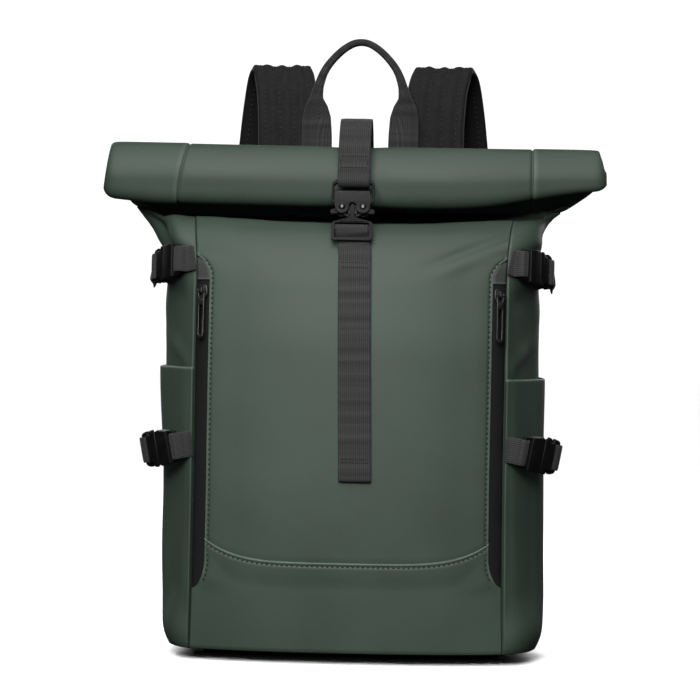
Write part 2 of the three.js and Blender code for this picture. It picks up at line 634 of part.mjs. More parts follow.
// Side compression straps. left and right are how far the middle of each buckle lies from the middle of the
// bag, y and z its other two coordinates; turn is its angle from straight across the bag, slope how much its
// rear end hangs down, and roll how much its upper edge leans out, in degrees. rearZ is the height of the
// strap on the gusset, and base what it lies on there.
const SIDE_STRAPS = table(
  ['name', 'left', 'right', 'y', 'z', 'turn', 'slope', 'roll', 'rearZ', 'base'],
  ['upper', 144.8, 142.9, -28, 308, 55, 9, -5, 302, 0],
  ['lower', 145.8, 147.1, -45.3, 164, 45, 7, 8, 160, POCKET.wall + GAP + 1.2],
);
const SIDE_BUCKLE = {
  half: 14, length: 40, socketFrom: 1, thick: 8.6, end: 4, bar: 3, slot: 3.6, prong: 3.4,
};

// Local x runs back along the strap, y up and z out. The plug lies towards the front of the bag.
function socket() {
  const { half, length, socketFrom, thick, end: thin, bar, slot: gap, prong } = SIDE_BUCKLE;
  const end = length / 2;
  const shape = new THREE.Shape();
  shape.moveTo(socketFrom, -half + 1.5);
  shape.lineTo(socketFrom + 4, -half);
  shape.lineTo(socketFrom + 6, -half + 3.4);
  shape.lineTo(socketFrom + 11, -half + 3.4);
  shape.lineTo(socketFrom + 13.5, -half);
  shape.lineTo(end - 1.5, -half + 1);
  shape.lineTo(end, -half + 2.5);
  shape.lineTo(end, half - 2.5);
  shape.lineTo(end - 1.5, half - 1);
  shape.lineTo(socketFrom + 13.5, half);
  shape.lineTo(socketFrom + 11, half - 3.4);
  shape.lineTo(socketFrom + 6, half - 3.4);
  shape.lineTo(socketFrom + 4, half);
  shape.lineTo(socketFrom, half - 1.5);
  shape.holes.push(slot(end - bar - gap, -SIDE_WIDTH / 2 - 0.4, end - bar, SIDE_WIDTH / 2 + 0.4));
  const room = prong / 2 + GAP;
  const cavity = box([socketFrom - 1, -half - 1, -room], [socketFrom + 11.6, half + 1, room]);
  const core = box([socketFrom + 8, -3, -prong], [socketFrom + 12.2, 3, prong]);
  const endOnly = [-1, 1].map((sign) => {
    const [z0, z1] = [sign * thin / 2, sign * thick].sort((p, q) => p - q);
    return box([end - bar - gap - 1, -half - 1, z0], [end + 1, half + 1, z1]);
  });
  return join(cut(plate(shape, -thick / 2, thick / 2, 3), cavity, ...endOnly), core);
}

function plug() {
  const { half, length, socketFrom, thick, end: thin, bar, slot: gap, prong } = SIDE_BUCKLE;
  const [end, face] = [-length / 2, socketFrom - GAP];
  const shape = new THREE.Shape();
  shape.moveTo(end + 1.5, -half + 2);
  shape.lineTo(face - 3, -half);
  shape.lineTo(face, -half + 1.5);
  shape.lineTo(face, half - 1.5);
  shape.lineTo(face - 3, half);
  shape.lineTo(end + 1.5, half - 2);
  shape.lineTo(end, half - 3.5);
  shape.lineTo(end, -half + 3.5);
  const wide = SIDE_WIDTH / 2 + 0.4;
  shape.holes.push(slot(end + bar, -wide, end + bar + gap, wide));
  const prongs = [-1, 1].map((sign) => {
    const arm = new THREE.Shape();
    arm.moveTo(face - 1, sign * (half - 5.6));
    arm.lineTo(face - 1, sign * (half - 2.6));
    arm.lineTo(face + 6.2, sign * (half - 2.6));
    arm.lineTo(face + 7, sign * (half + 0.6));
    arm.lineTo(face + 9, sign * (half + 0.2));
    arm.lineTo(face + 11.2, sign * (half - 3.6));
    arm.lineTo(face + 10.4, sign * (half - 5.6));
    return plate(arm, -prong / 2, prong / 2, 3);
  });
  const endOnly = [-1, 1].map((sign) => {
    const [z0, z1] = [sign * thin / 2, sign * thick].sort((p, q) => p - q);
    return box([end - 1, -half - 1, z0], [end + bar + gap + 1, half + 1, z1]);
  });
  return join(cut(plate(shape, -thick / 2, thick / 2, 3), ...endOnly), ...prongs);
}

// A frame whose x runs back along the strap, y up its width and z out of the bag.
function strapFrame({ y, z, turn, slope, roll }, x) {
  const [plan, dip] = [turn, slope].map(THREE.MathUtils.degToRad);
  const along = vec(Math.cos(plan) * Math.cos(dip), Math.sin(plan) * Math.cos(dip), -Math.sin(dip));
  const out = vec(Math.sin(plan), -Math.cos(plan), 0);
  const frame = new THREE.Group();
  frame.matrix.makeBasis(along, out.clone().cross(along), out);
  frame.matrix.setPosition(x, y, z);
  frame.matrix.decompose(frame.position, frame.quaternion, frame.scale);
  frame.rotateX(THREE.MathUtils.degToRad(roll));
  frame.updateMatrix();
  return frame;
}

// Each end of the webbing comes off the gusset, goes round the buckle's end bar and into its slot.
function addSideStraps() {
  const { length, end, bar } = SIDE_BUCKLE;
  const turn = Math.hypot(bar / 2, end / 2) + GAP + WEBBING / 2;
  const barX = length / 2 - bar / 2;
  bothSides((half, side) => {
    for (const strap of SIDE_STRAPS) {
      const name = `${strap.name}_${side}`;
      const frame = strapFrame(strap, strap[side]);
      half.add(frame);
      add(frame, `side_buckle_${name}_plug`, plug(), 'plastic');
      add(frame, `side_buckle_${name}_socket`, socket(), 'plastic');
      const up = vec(0, 1, 0).transformDirection(frame.matrix);
      const local = (x, y, out) => vec(x, y, out).applyMatrix4(frame.matrix);
      const wrapped = (sign) => steps(-90, 110, 6).map((degrees) => {
        const angle = THREE.MathUtils.degToRad(degrees);
        return local(sign * (barX - turn * Math.sin(angle)), 0, turn * Math.cos(angle));
      });
      const off = strap.base + GAP + WEBBING / 2;
      const frontZ = strap.z + 4;
      const front = [onTube(1.035, frontZ, 2 * GAP + WEBBING, side), local(-barX - turn, 0, -4)];
      const rear = [1.93, 1.84, 1.75, 1.66].map((a) => onTube(a, strap.rearZ, off + 0.4, side));
      const ontoBar = local(barX + turn, 0, -3);
      const onSeam = tubePoint(1.035, frontZ + 1, side).sub(tubePoint(1.035, frontZ - 1, side)).normalize();
      const acrossFront = (i) => (i === 0 ? onSeam : up);
      const acrossRear = (i) => (i < rear.length ? vec(0, 0, 1) : up);
      const [frontPath, rearPath] = [[...front, ...wrapped(-1)], [...rear, ontoBar, ...wrapped(1)]];
      add(half, `side_strap_${name}_front`, ribbon(frontPath, acrossFront, SIDE_WIDTH), 'webbing');
      add(half, `side_strap_${name}_rear`, ribbon(rearPath, acrossRear, SIDE_WIDTH), 'webbing');
      if (strap.name === 'upper') {
        const hanging = [[barX + 7.2, -1, 0], [barX + 11, -4, -4.5], [barX + 14, -8.5, -7.5]];
        const tail = hanging.map((p) => local(...p));
        add(half, `side_strap_tail_${side}`, ribbon(tail, () => up, SIDE_WIDTH), 'webbing');
      }
    }
  });
}

// Grab handle. One row for each place along half of it: x and z of its middle, its width in the plane of the
// arch and its depth from front to back; the webbing is flat at the roots and folded narrow in the arch.
const HANDLE = table(
  ['x', 'z', 'wide', 'deep'],
  [35, 292, HANDLE_WEBBING, 2],
  [35, 380, HANDLE_WEBBING, 2],
  [35.5, 416, 24.5, 2.4],
  [36, 434, 21, 4.5],
  [35.5, 447, 13, 9],
  [33.5, 458, 8.5, 11],
  [29.8, 467.5, 6.8, 11.5],
  [23.2, 477, 6, 11.5],
  [13.3, 486.3, 5.6, 11.5],
  [4.5, 490.8, 5.4, 11.5],
);
const HANDLE_Y = 63.3;

function addHandle() {
  const stations = [...HANDLE, ...HANDLE.map((row) => ({ ...row, x: -row.x })).reverse()];
  const path = stations.map(({ x, z }) => vec(x, HANDLE_Y, z));
  const section = (share) => {
    const { wide, deep } = stations[Math.round(share * (stations.length - 1))];
    const corner = 0.55;
    const quarter = [[-corner, -1], [corner, -1], [1, -corner], [1, corner]];
    const outline = [...quarter, ...quarter.map(([n, d]) => [-n, -d])];
    return outline.map(([n, d]) => [(d * deep) / 2, (n * wide) / 2]);
  };
  add(bag, 'grab_handle', sweep(path, () => vec(0, 1, 0), section), 'webbing');
}

// Shoulder straps: up from the back panel, over, and down behind, then webbing to the foot of the back panel.
// The paths are [x, y, z] of the middle of the strap.
const PAD_PATH = [
  [60, 66.9, 300], [59.5, 70.4, 320], [59.5, 72, 390], [60.5, 76, 435], [63, 84, 459.5], [67, 97, 470.5],
  [71.5, 110, 463.5], [76, 119, 440], [81, 125, 396], [87, 127, 340], [93, 123, 280], [97, 114, 220],
  [99, 104, 172],
];
const WEBBING_PATH = [[99, 103.9, 171.6], [100.2, 98.6, 150], [103, 90, 120], [110, 77, 78]];
const WEBBING_FOOT = [[2.075, 42], [2.07, 22]]; // a and z where it is sewn to the back panel
const KEEPER = { length: 9, wide: 15.5, deep: 4, clear: 0.4 };

// Half the section's outline, as shares of the width and the thickness: three padded channels between two
// sewn lines.
const PAD_SECTION = [
  [-0.5, 0], [-0.46, 0.34], [-0.33, 0.5], [-0.17, 0.36], [0, 0.5], [0.17, 0.36], [0.33, 0.5], [0.46, 0.34],
];

function addShoulderStraps() {
  const outline = [...PAD_SECTION, ...PAD_SECTION.map(([w, n]) => [-w, -n])];
  const section = (share) => {
    const end = Math.min(share, 1 - share);
    const full = mix(0.35, 1, smooth(0, 0.06, end));
    return outline.map(([w, n]) => [w * PAD_WIDTH, n * PAD_THICKNESS * full]);
  };
  bothSides((half, side) => {
    const pad = curveThrough(PAD_PATH.map((p) => vec(...p)), 20);
    add(half, `shoulder_strap_${side}`, sweep(pad, level, section), 'pad');
    const foot = WEBBING_FOOT.map(([a, z]) => onTube(a, z, 4 * GAP + WEBBING / 2));
    const path = curveThrough([...WEBBING_PATH.map((p) => vec(...p)), ...foot], 10);
    add(half, `shoulder_webbing_${side}`, ribbon(path, level, CLOSURE_WIDTH), 'webbing');
    const along = path[1].clone().sub(path[0]).normalize();
    const wide = vec(1, 0, 0).addScaledVector(along, -along.x).normalize();
    const frame = new THREE.Group();
    frame.matrix.makeBasis(wide, along.clone().cross(wide), along);
    frame.matrix.setPosition(path[0].clone().addScaledVector(along, 2));
    frame.matrix.decompose(frame.position, frame.quaternion, frame.scale);
    half.add(frame);
    const ring = roundedRectangle(-KEEPER.wide, -KEEPER.deep, KEEPER.wide, KEEPER.deep, 1.5);
    const [openX, openY] = [CLOSURE_WIDTH / 2 + KEEPER.clear, WEBBING / 2 + KEEPER.clear];
    ring.holes.push(slot(-openX, -openY, openX, openY));
    add(frame, `shoulder_adjuster_${side}`, plate(ring, 0, KEEPER.length, 2), 'plastic');
  });
}

addBody();
addRoll();
addPockets();
addZips();
addBuckle();
addUpperStrap();
addLowerStrap();
addSideStraps();
addHandle();
addShoulderStraps();

export default bag;
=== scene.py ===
import math

import bmesh
import bpy
import numpy as np
from mathutils import Matrix, Vector


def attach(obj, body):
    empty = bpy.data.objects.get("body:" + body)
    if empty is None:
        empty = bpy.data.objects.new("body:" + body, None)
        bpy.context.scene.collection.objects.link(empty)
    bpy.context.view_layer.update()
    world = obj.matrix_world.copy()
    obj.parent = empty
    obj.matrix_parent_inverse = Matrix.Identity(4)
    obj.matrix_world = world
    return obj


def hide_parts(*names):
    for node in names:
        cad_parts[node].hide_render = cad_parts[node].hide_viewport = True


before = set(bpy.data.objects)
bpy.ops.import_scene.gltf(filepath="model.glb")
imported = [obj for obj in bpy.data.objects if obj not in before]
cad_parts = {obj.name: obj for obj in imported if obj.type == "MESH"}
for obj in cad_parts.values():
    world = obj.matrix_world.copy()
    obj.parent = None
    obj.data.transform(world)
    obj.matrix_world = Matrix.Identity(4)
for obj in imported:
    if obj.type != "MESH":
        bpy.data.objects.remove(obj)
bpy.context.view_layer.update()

MM = 0.001  # sizes below are in millimetres; meshes are made in metres
MIRROR = Matrix.Scale(-1, 4, (1, 0, 0))
LEVEL = (1, 0, 0)

# Sizes of the part, repeated from its source
FOOT_RADIUS = 10
SEAM_Z, SEAM_DIP = 98.5, 19  # the front's curved seam: height of its ends, and how far it hangs between them
NECK_Z = 346
ROLL_TOP_Z, ROLL_RADIUS, ROLL_PITCH, ROLL_TURN = 404, 21, 6.5, 585
SHEET_Y = 18.4  # middle of the flattened mouth before it is rolled
MOUTH_HALF = 199
CLOSURE_WIDTH, SIDE_WIDTH, WEBBING = 25, 20, 1.6
FRONT_CROWN_POWER, BACK_CROWN_SHARE = 2.6, 0.25

# The sewn tube
TUBE = np.array([  # height; front, back; their half widths; left, right reach; front's crown; gusset's exponent
    (0, -62, 57, 122, 137, 145, 151, 14, 2.2),
    (60, -68, 60, 120.5, 139, 146.5, 152.3, 17, 2.2),
    (150, -72, 62, 119.8, 140, 147, 149.5, 19, 2.1),
    (240, -70, 62, 120, 140, 148.5, 147, 19, 2),
    (290, -63, 62, 120.2, 139, 147.5, 145, 17, 1.9),
    (316, -54, 61, 121, 138, 149.5, 145, 12, 1.7),
    (332, -43, 58, 122.5, 137, 157, 145.5, 8, 1.5),
    (346, -17, 46, 125.5, 137, 170, 154, 4, 1.4),
    (354, 5, 33, 131, 138, 177, 164, 2, 1.6),
    (362, 16.4, 20.4, 139, 139, 184, 176, 0, 6),
    (376, 16.4, 20.4, 139, 139, 197, 195, 0, 6),
    (404, 16.4, 20.4, 139, 139, 199, 198, 0, 6),
], float)


# Small helpers
def mix(a, b, t):
    return a + (b - a) * t


def smooth(low, high, x):
    t = np.clip((np.asarray(x, float) - low) / (high - low), 0, 1)
    return t * t * (3 - 2 * t)


def hump(x, middle, width):
    return np.exp(-((np.asarray(x, float) - middle) / width) ** 2)


def unit(v):
    return v / np.maximum(np.linalg.norm(v, axis=-1, keepdims=True), 1e-12)


def full_turn(count):
    return np.linspace(0, 2 * math.pi, count, endpoint=False)


def grid(rows, columns):
    """The value of its row and that of its column, for every point of a grid."""
    return np.meshgrid(rows, columns, indexing="ij")


def close_at_edges(near, first, count):
    """Shares from 0 to 1: the near ones at both edges, and count of them evenly between."""
    near = np.array(near)
    return np.concatenate([near, np.linspace(first, 1 - first, count), 1 - near[::-1]])


def unevenness(x, y, size, seed):
    """The slight waviness of sewn cloth, between -1 and 1, with waves about size apart."""
    total = 0
    for k in range(4):
        angle, wave = seed * 1.7 + k * 2.4, size * (1 + 0.31 * k)
        along = x * math.cos(angle) + y * math.sin(angle)
        total = total + np.sin(along * 2 * math.pi / wave + seed * 3.1 + k * k)
    return total / 4


def column(k, z):
    """A column of the tube's table at height z, on a curve that never overshoots the rows."""
    xs, ys = TUBE[:, 0], TUBE[:, k]
    slopes = np.diff(ys) / np.diff(xs)
    before, after = slopes[:-1], slopes[1:]
    same_way = before * after > 0
    inner = np.where(same_way, 2 * before * after / np.where(same_way, before + after, 1), 0)
    tangents = np.concatenate([slopes[:1], inner, slopes[-1:]])
    z = np.asarray(z, float)
    i = np.clip(np.searchsorted(xs, z) - 1, 0, len(xs) - 2)
    span, rise = xs[i + 1] - xs[i], ys[i + 1] - ys[i]
    t = np.clip((z - xs[i]) / span, 0, 1)
    bend, unbend = tangents[i] * span - rise, rise - tangents[i + 1] * span
    return ys[i] + rise * t + t * (1 - t) * (bend * (1 - t) + unbend * t)


def tube(a, z, hand=None):
    """A point of the tube: a is 0 to 1 across the front, to 2 over the right gusset, to 3 across the back and to
    4 over the left gusset. hand makes the right gusset take that hand's reach."""
    a, z = np.broadcast_arrays(np.asarray(a, float), np.asarray(z, float))
    turn = np.mod(a, 4)
    front, back, front_half, back_half, left, right, crown, ridge = (column(k, z) for k in range(1, 9))
    low = np.clip(FOOT_RADIUS - z, 0, FOOT_RADIUS)
    inset = FOOT_RADIUS - np.sqrt(FOOT_RADIUS**2 - low**2)
    front, back = front + inset, back - inset
    front_half, back_half = front_half - inset, back_half - inset
    front_y, back_y = front + crown, back - crown * BACK_CROWN_SHARE
    on_front, on_back, on_right = turn <= 1, (turn >= 2) & (turn <= 3), turn < 2
    s = np.where(on_front, 2 * turn - 1, 5 - 2 * turn)
    bow = crown * np.abs(s) ** FRONT_CROWN_POWER
    t = np.clip(np.where(on_right, turn - 1, 4 - turn), 0, 1)
    reach = np.sin(math.pi * t)
    corner_x = np.where(t < 0.5, front_half, back_half)
    corner_y = np.where(t < 0.5, front_y, back_y)
    side = np.where(on_right if hand is None else hand == "right", right, left) - inset
    gusset_x = mix(corner_x, side, reach) * np.where(on_right, 1, -1)
    gusset_y = mix((front_y + back_y) / 2, corner_y, np.clip(1 - reach**ridge, 0, 1) ** (1 / ridge))
    x = np.where(on_front, s * front_half, np.where(on_back, s * back_half, gusset_x))
    y = np.where(on_front, front + bow, np.where(on_back, back - bow * BACK_CROWN_SHARE, gusset_y))
    return np.stack([x, y, z], -1)


def tube_normal(a, z, hand=None):
    a, z = np.asarray(a, float), np.asarray(z, float)
    here = tube(a, z, hand)
    ahead, behind = unit(tube(a + 0.015, z, hand) - here), unit(here - tube(a - 0.015, z, hand))
    up = tube(a, z + 0.2, hand) - tube(a, np.maximum(0, z - 0.2), hand)
    return unit(np.cross(ahead + behind, up))


def on_tube(a, z, out, hand=None):
    return tube(a, z, hand) + tube_normal(a, z, hand) * np.asarray(out, float)[..., None]


def curve_through(points, count):
    """A centripetal Catmull-Rom curve through points."""
    p = np.asarray(points, float)
    p = np.concatenate([[2 * p[0] - p[1]], p, [2 * p[-1] - p[-2]]])
    made = []
    for at in np.linspace(0, len(p) - 3, count + 1):
        i = min(int(at), len(p) - 4)
        t, (p0, p1, p2, p3) = at - i, p[i:i + 4]
        d0, d1, d2 = (max(np.linalg.norm(b - a) ** 0.5, 1e-4) for a, b in ((p0, p1), (p1, p2), (p2, p3)))
        m1 = ((p1 - p0) / d0 - (p2 - p0) / (d0 + d1) + (p2 - p1) / d1) * d1
        m2 = ((p2 - p1) / d1 - (p3 - p1) / (d1 + d2) + (p3 - p2) / d2) * d1
        bend, unbend = -3 * p1 + 3 * p2 - 2 * m1 - m2, 2 * p1 - 2 * p2 + m1 + m2
        made.append(p1 + m1 * t + bend * t**2 + unbend * t**3)
    return np.array(made)


def lengths_along(path):
    return np.concatenate([[0], np.cumsum(np.linalg.norm(np.diff(path, axis=0), axis=1))])


def at_lengths(at, along, values):
    """Values that belong to the lengths along a path, read at other lengths."""
    return np.stack([np.interp(at, along, values[:, k]) for k in range(3)], 1)


def resampled(path, step):
    along = lengths_along(path)
    count = max(2, int(round(along[-1] / step)) + 1)
    return at_lengths(np.linspace(0, along[-1], count), along, path)


# Meshes
def linked(name, data):
    made = bpy.data.objects.new(name, data)
    bpy.context.collection.objects.link(made)
    return made


def mesh_of(points, faces, wear_and_painted_light=None, weave=None):
    """A mesh from points in millimetres. Each point's wear value, where given, is partly real wear and partly
    painted light: a painted highlight along cloth folds and seams, and painted shade on one face of the shoulder
    pads; weave is its place on the webbing.
    """
    mesh = bpy.data.meshes.new("mesh")
    mesh.from_pydata((np.asarray(points, float) * MM).tolist(), [], faces)
    if wear_and_painted_light is not None:
        mesh.attributes.new("wear_and_painted_light", "FLOAT", "POINT").data.foreach_set("value", np.asarray(wear_and_painted_light, np.float32))
    if weave is not None:
        corners = np.empty(len(mesh.loops), np.int32)
        mesh.loops.foreach_get("vertex_index", corners)
        layer = mesh.uv_layers.new(name="weave")
        layer.data.foreach_set("uv", np.asarray(weave, np.float32)[corners].ravel())
    return mesh


def outward(mesh):
    work = bmesh.new()
    work.from_mesh(mesh)
    bmesh.ops.recalc_face_normals(work, faces=work.faces)
    if work.calc_volume(signed=True) < 0:
        bmesh.ops.reverse_faces(work, faces=work.faces)
    work.to_mesh(mesh)
    work.free()
    return mesh


def joined(meshes):
    work = bmesh.new()
    for mesh in meshes:
        work.from_mesh(mesh)
    whole = bpy.data.meshes.new("joined")
    work.to_mesh(whole)
    work.free()
    return whole


def placed(mesh, matrix):
    mesh.transform(matrix)
    if matrix.determinant() < 0:
        mesh.flip_normals()
    return mesh


def basis(origin, x, y, z, hand="right"):
    """The matrix of a local frame given in millimetres, mirrored for the left hand."""
    matrix = Matrix([[x[k], y[k], z[k], origin[k] * MM] for k in range(3)] + [[0, 0, 0, 1]])
    return MIRROR @ matrix if hand == "left" else matrix


def hands(points, hand):
    """Points drawn for the right hand, mirrored for the left."""
    return points * np.array([-1, 1, 1]) if hand == "left" else points


def mirror_mesh(mesh, hand):
    return placed(mesh, MIRROR) if hand == "left" else mesh


def add_piece(name, mesh, finish, *nodes, slot=None, body="bag", sharp=None):
    """A finished piece that rides on a body and stands for nodes of the part; sharp edges start at an angle."""
    mesh.name = name
    mesh.materials.clear()
    mesh.materials.append(finish)
    mesh.shade_smooth()
    if sharp is not None:
        mesh.set_sharp_from_angle(angle=math.radians(sharp))
    piece = linked(name, mesh)
    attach(piece, body)
    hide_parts(*nodes)
    return piece


def add_hard(name, mesh, there, finish, *nodes, body="bag"):
    add_piece(name, placed(mesh, there), finish, *nodes, body=body, sharp=40)


def grid_faces(rows, columns, start=0, round_columns=False):
    faces = []
    for i in range(rows - 1):
        for j in range(columns if round_columns else columns - 1):
            k = (j + 1) % columns
            a, b = start + i * columns, start + (i + 1) * columns
            faces.append((a + j, a + k, b + k, b + j))
    return faces


def closed_faces(rows, columns, start=0):
    """The faces round a row of loops, with one over each end."""
    last = start + (rows - 1) * columns
    ends = [tuple(range(start, start + columns))[::-1], tuple(range(last, last + columns))]
    return grid_faces(rows, columns, start, True) + ends


def shell(outer, inner, wear_and_painted_light=None, weave=None):
    """A closed wall between two grids of points."""
    rows, columns = outer.shape[:2]
    count = rows * columns
    faces = grid_faces(rows, columns) + [f[::-1] for f in grid_faces(rows, columns, count)]
    at = np.arange(count).reshape(rows, columns)
    edge = np.concatenate([at[0], at[1:, -1], at[-1, -2::-1], at[-2:0:-1, 0]]).tolist()
    for a, b in zip(edge, edge[1:] + edge[:1]):
        faces.append((b, a, a + count, b + count))
    points = np.concatenate([outer.reshape(-1, 3), inner.reshape(-1, 3)])
    # Paler fold and seam edges: partly wear, partly a painted highlight
    scuff_and_highlight = np.zeros(2 * count)
    if wear_and_painted_light is not None:
        scuff_and_highlight[:count] = np.broadcast_to(wear_and_painted_light, (rows, columns)).ravel()
    if weave is not None:
        weave = np.tile(weave.reshape(-1, 2), (2, 1))
    return outward(mesh_of(points, faces, scuff_and_highlight, weave))


def neck_dip(a, z):
    """How far the cloth of the front drops behind its crest, before it stands up again under the roll."""
    turn = np.mod(a, 4)
    off_front = np.where(turn <= 1, 0, np.where(turn < 2, turn - 1, np.where(turn > 3, 4 - turn, 1)))
    rise = 4 * smooth(0.3, 1, np.abs(2 * np.asarray(a) - 1))
    dip = 19 * smooth(341 + rise, 353 + 0.4 * rise, z) * (1 - smooth(355, 366, z))
    return dip * (1 - smooth(0.02, 0.3, off_front))


def on_cloth(a, z, out):
    """A point of the sewn tube with the dip behind the crest of the front."""
    points = on_tube(a, z, out)
    points[..., 2] -= neck_dip(a, z)
    return points


def tube_shell(a, z, out, thick, wear_and_painted_light=None, weave=None):
    """A cloth wall on the sewn tube; a, z and out are grids, and thick is the cloth under them."""
    a, z, out = np.broadcast_arrays(a, z, out)
    return shell(on_cloth(a, z, out), on_cloth(a, z, out - thick), wear_and_painted_light, weave)


def loft(loops, weave=None, wear_and_painted_light=None):
    """A closed solid through loops of points."""
    return outward(mesh_of(loops.reshape(-1, 3), closed_faces(*loops.shape[:2]), wear_and_painted_light, weave))


def framed(path, across):
    """Width and normal directions of a strap along its path."""
    along = unit(np.gradient(path, axis=0))
    wide = np.broadcast_to(np.asarray(across, float), path.shape)
    wide = unit(wide - along * (wide * along).sum(1, keepdims=True))
    return wide, np.cross(along, wide)


def sections(path, wide, normal, w, n):
    """Loops round a path, from the places of their points across it and off it."""
    return path[:, None] + wide[:, None] * w[..., None] + normal[:, None] * n[..., None]


def weave_places(across, path):
    return np.stack(np.broadcast_arrays(across, lengths_along(path)[:, None]), -1).reshape(-1, 2)


def add_webbing(strap, path, across, width=CLOSURE_WIDTH, step=1.6, name=None):
    """Flat woven webbing along a path, thinner at its selvedges, with its own coordinates for the weave."""
    along, fine = lengths_along(path), resampled(path, step)
    at = lengths_along(fine) * along[-1] / lengths_along(fine)[-1]
    across = at_lengths(at, along, np.broadcast_to(np.asarray(across, float), path.shape))
    shares = np.array([-0.5, -0.47, -0.42, -0.25, 0, 0.25, 0.42, 0.47, 0.5])
    half = np.array([0.2, 0.36, 0.44, 0.5, 0.5, 0.5, 0.44, 0.36, 0.2]) * WEBBING
    w = np.concatenate([shares, shares[::-1]]) * width
    n = np.concatenate([half, -half[::-1]])
    mesh = loft(sections(fine, *framed(fine, across), w, n), weave_places(w, fine))
    add_piece(name or f"{strap}_webbing", mesh, WEAVE, strap)


def stitch_row(path, normals, length, pitch, thread, rise):
    """Sewing stitches along a path: short threads that dip into the cloth at both ends."""
    along = lengths_along(path)
    count = int(along[-1] // pitch)
    start = (along[-1] - (count - 1) * pitch) / 2
    shares = np.array([-0.5, -0.36, 0, 0.36, 0.5])
    depth = np.array([-1.3, 0.1, 0.55, 0.1, -1.3]) * thread + rise
    girth = np.array([0.35, 0.85, 1, 0.85, 0.35]) * thread
    turn = full_turn(6)
    made = []
    for k in range(count):
        at = start + k * pitch + shares * length
        middle, up = at_lengths(at, along, path), unit(at_lengths(at, along, normals))
        side = unit(np.cross(unit(middle[-1] - middle[0]), up))
        middle = middle + up * depth[:, None]
        made.append(sections(middle, side, up, np.cos(turn) * girth[:, None], np.sin(turn) * girth[:, None] * 0.8))
    return made


def add_stitching(name, rows, finish, slot=None):
    """All the stitches of a seam as one piece."""
    stitches = np.array([rings for row in rows for rings in row])
    length, sides = stitches.shape[1:3]
    faces = []
    for k in range(len(stitches)):
        faces += closed_faces(length, sides, k * length * sides)
    add_piece(name, outward(mesh_of(stitches.reshape(-1, 3), faces)), finish, slot=slot)


def plate(outlines, low, high, edge):
    """A flat plate with rounded edges; the first outline is its outside and the others are holes."""
    curve = bpy.data.curves.new("plate", "CURVE")
    curve.dimensions, curve.fill_mode = "2D", "BOTH"
    curve.extrude = ((high - low) / 2 - edge) * MM
    curve.bevel_depth, curve.bevel_resolution, curve.offset = edge * MM, 2, -edge * MM
    for k, outline in enumerate(outlines):
        points = [tuple(p) for p in outline]
        area = sum(p[0] * q[1] - q[0] * p[1] for p, q in zip(points, points[1:] + points[:1]))
        if (area > 0) != (k == 0):
            points = points[::-1]
        spline = curve.splines.new("POLY")
        spline.points.add(len(points) - 1)
        for knot, (x, y) in zip(spline.points, points):
            knot.co = (x * MM, y * MM, 0, 1)
        spline.use_cyclic_u = True
    drawn = linked("plate", curve)
    seen = drawn.evaluated_get(bpy.context.evaluated_depsgraph_get())
    mesh = bpy.data.meshes.new_from_object(seen)
    bpy.data.objects.remove(drawn)
    bpy.data.curves.remove(curve)
    work = bmesh.new()
    work.from_mesh(mesh)
    bmesh.ops.remove_doubles(work, verts=work.verts, dist=1e-6)
    work.to_mesh(mesh)
    work.free()
    mesh.transform(Matrix.Translation((0, 0, (low + high) / 2 * MM)))
    return outward(mesh)


def arc(x, y, radius, start, end, count=8):
    turns = np.radians(np.linspace(start, end, count + 1))
    return [(x + radius * math.cos(t), y + radius * math.sin(t)) for t in turns]


def rounded_box(x0, y0, x1, y1, r, count=5):
    corners = (x1 - r, y0 + r, -90), (x1 - r, y1 - r, 0), (x0 + r, y1 - r, 90), (x0 + r, y0 + r, 180)
    return [p for x, y, turn in corners for p in arc(x, y, r, turn, turn + 90, count)]


def both_ways(upper):
    """An outline from its upper half."""
    return upper + [(x, -y) for x, y in upper[::-1]]


def rod(start, end, radius, edge, sides=20):
    """A round bar with rounded ends."""
    start, end = np.asarray(start, float), np.asarray(end, float)
    ahead = unit(end - start)
    side = unit(np.cross(ahead, (0.3, 0.5, 0.81)))
    up = np.cross(ahead, side)
    inward = (0, 0.12, 0.45, 1)
    at = [start + ahead * edge * e for e in inward] + [end - ahead * edge * e for e in inward[::-1]]
    girth = [radius - edge * e for e in (1, 0.5, 0.12, 0, 0, 0.12, 0.5, 1)]
    turn = full_turn(sides)[:, None]
    ring = side * np.cos(turn) + up * np.sin(turn)
    return loft(np.array([p + ring * g for p, g in zip(at, girth)]))


def turned(profile, sides=20):
    """A round form turned about the z axis, from (radius, height) pairs."""
    return loft(np.array([[(r * math.cos(t), r * math.sin(t), h) for t in full_turn(sides)] for r, h in profile]))


# Materials
def linear(code):
    """An sRGB hex value as a linear colour."""
    parts = [int(code[k:k + 2], 16) / 255 for k in (1, 3, 5)]
    return (*(p / 12.92 if p <= 0.04045 else ((p + 0.055) / 1.055) ** 2.4 for p in parts), 1)


def node(tree, kind, inputs=None, output=0, **settings):
    """Adds a node and gives one of its outputs; inputs holds values and the sockets that feed it."""
    made = tree.nodes.new("ShaderNode" + kind)
    for name, value in settings.items():
        setattr(made, name, value)
    for socket, value in (inputs or {}).items():
        if isinstance(value, bpy.types.NodeSocket):
            tree.links.new(value, made.inputs[socket])
        else:
            made.inputs[socket].default_value = value
    return made.outputs[output]


def noise(tree, size, detail):
    """Noise in patches about size metres across."""
    place = node(tree, "TexCoord", output="Object")
    return node(tree, "TexNoise", {"Vector": place, "Scale": 1 / size, "Detail": detail}, "Fac")


def maths(tree, operation, *values, clamp=False):
    return node(tree, "Math", dict(enumerate(values)), operation=operation, use_clamp=clamp)


def ranged(tree, value, low, high, to_low, to_high):
    return node(tree, "MapRange", {0: value, 1: low, 2: high, 3: to_low, 4: to_high})


def varied(tree, cloud, low, high):
    """A number that follows a noise, most of which lies between 0.3 and 0.7."""
    return ranged(tree, cloud, 0.3, 0.7, low, high)


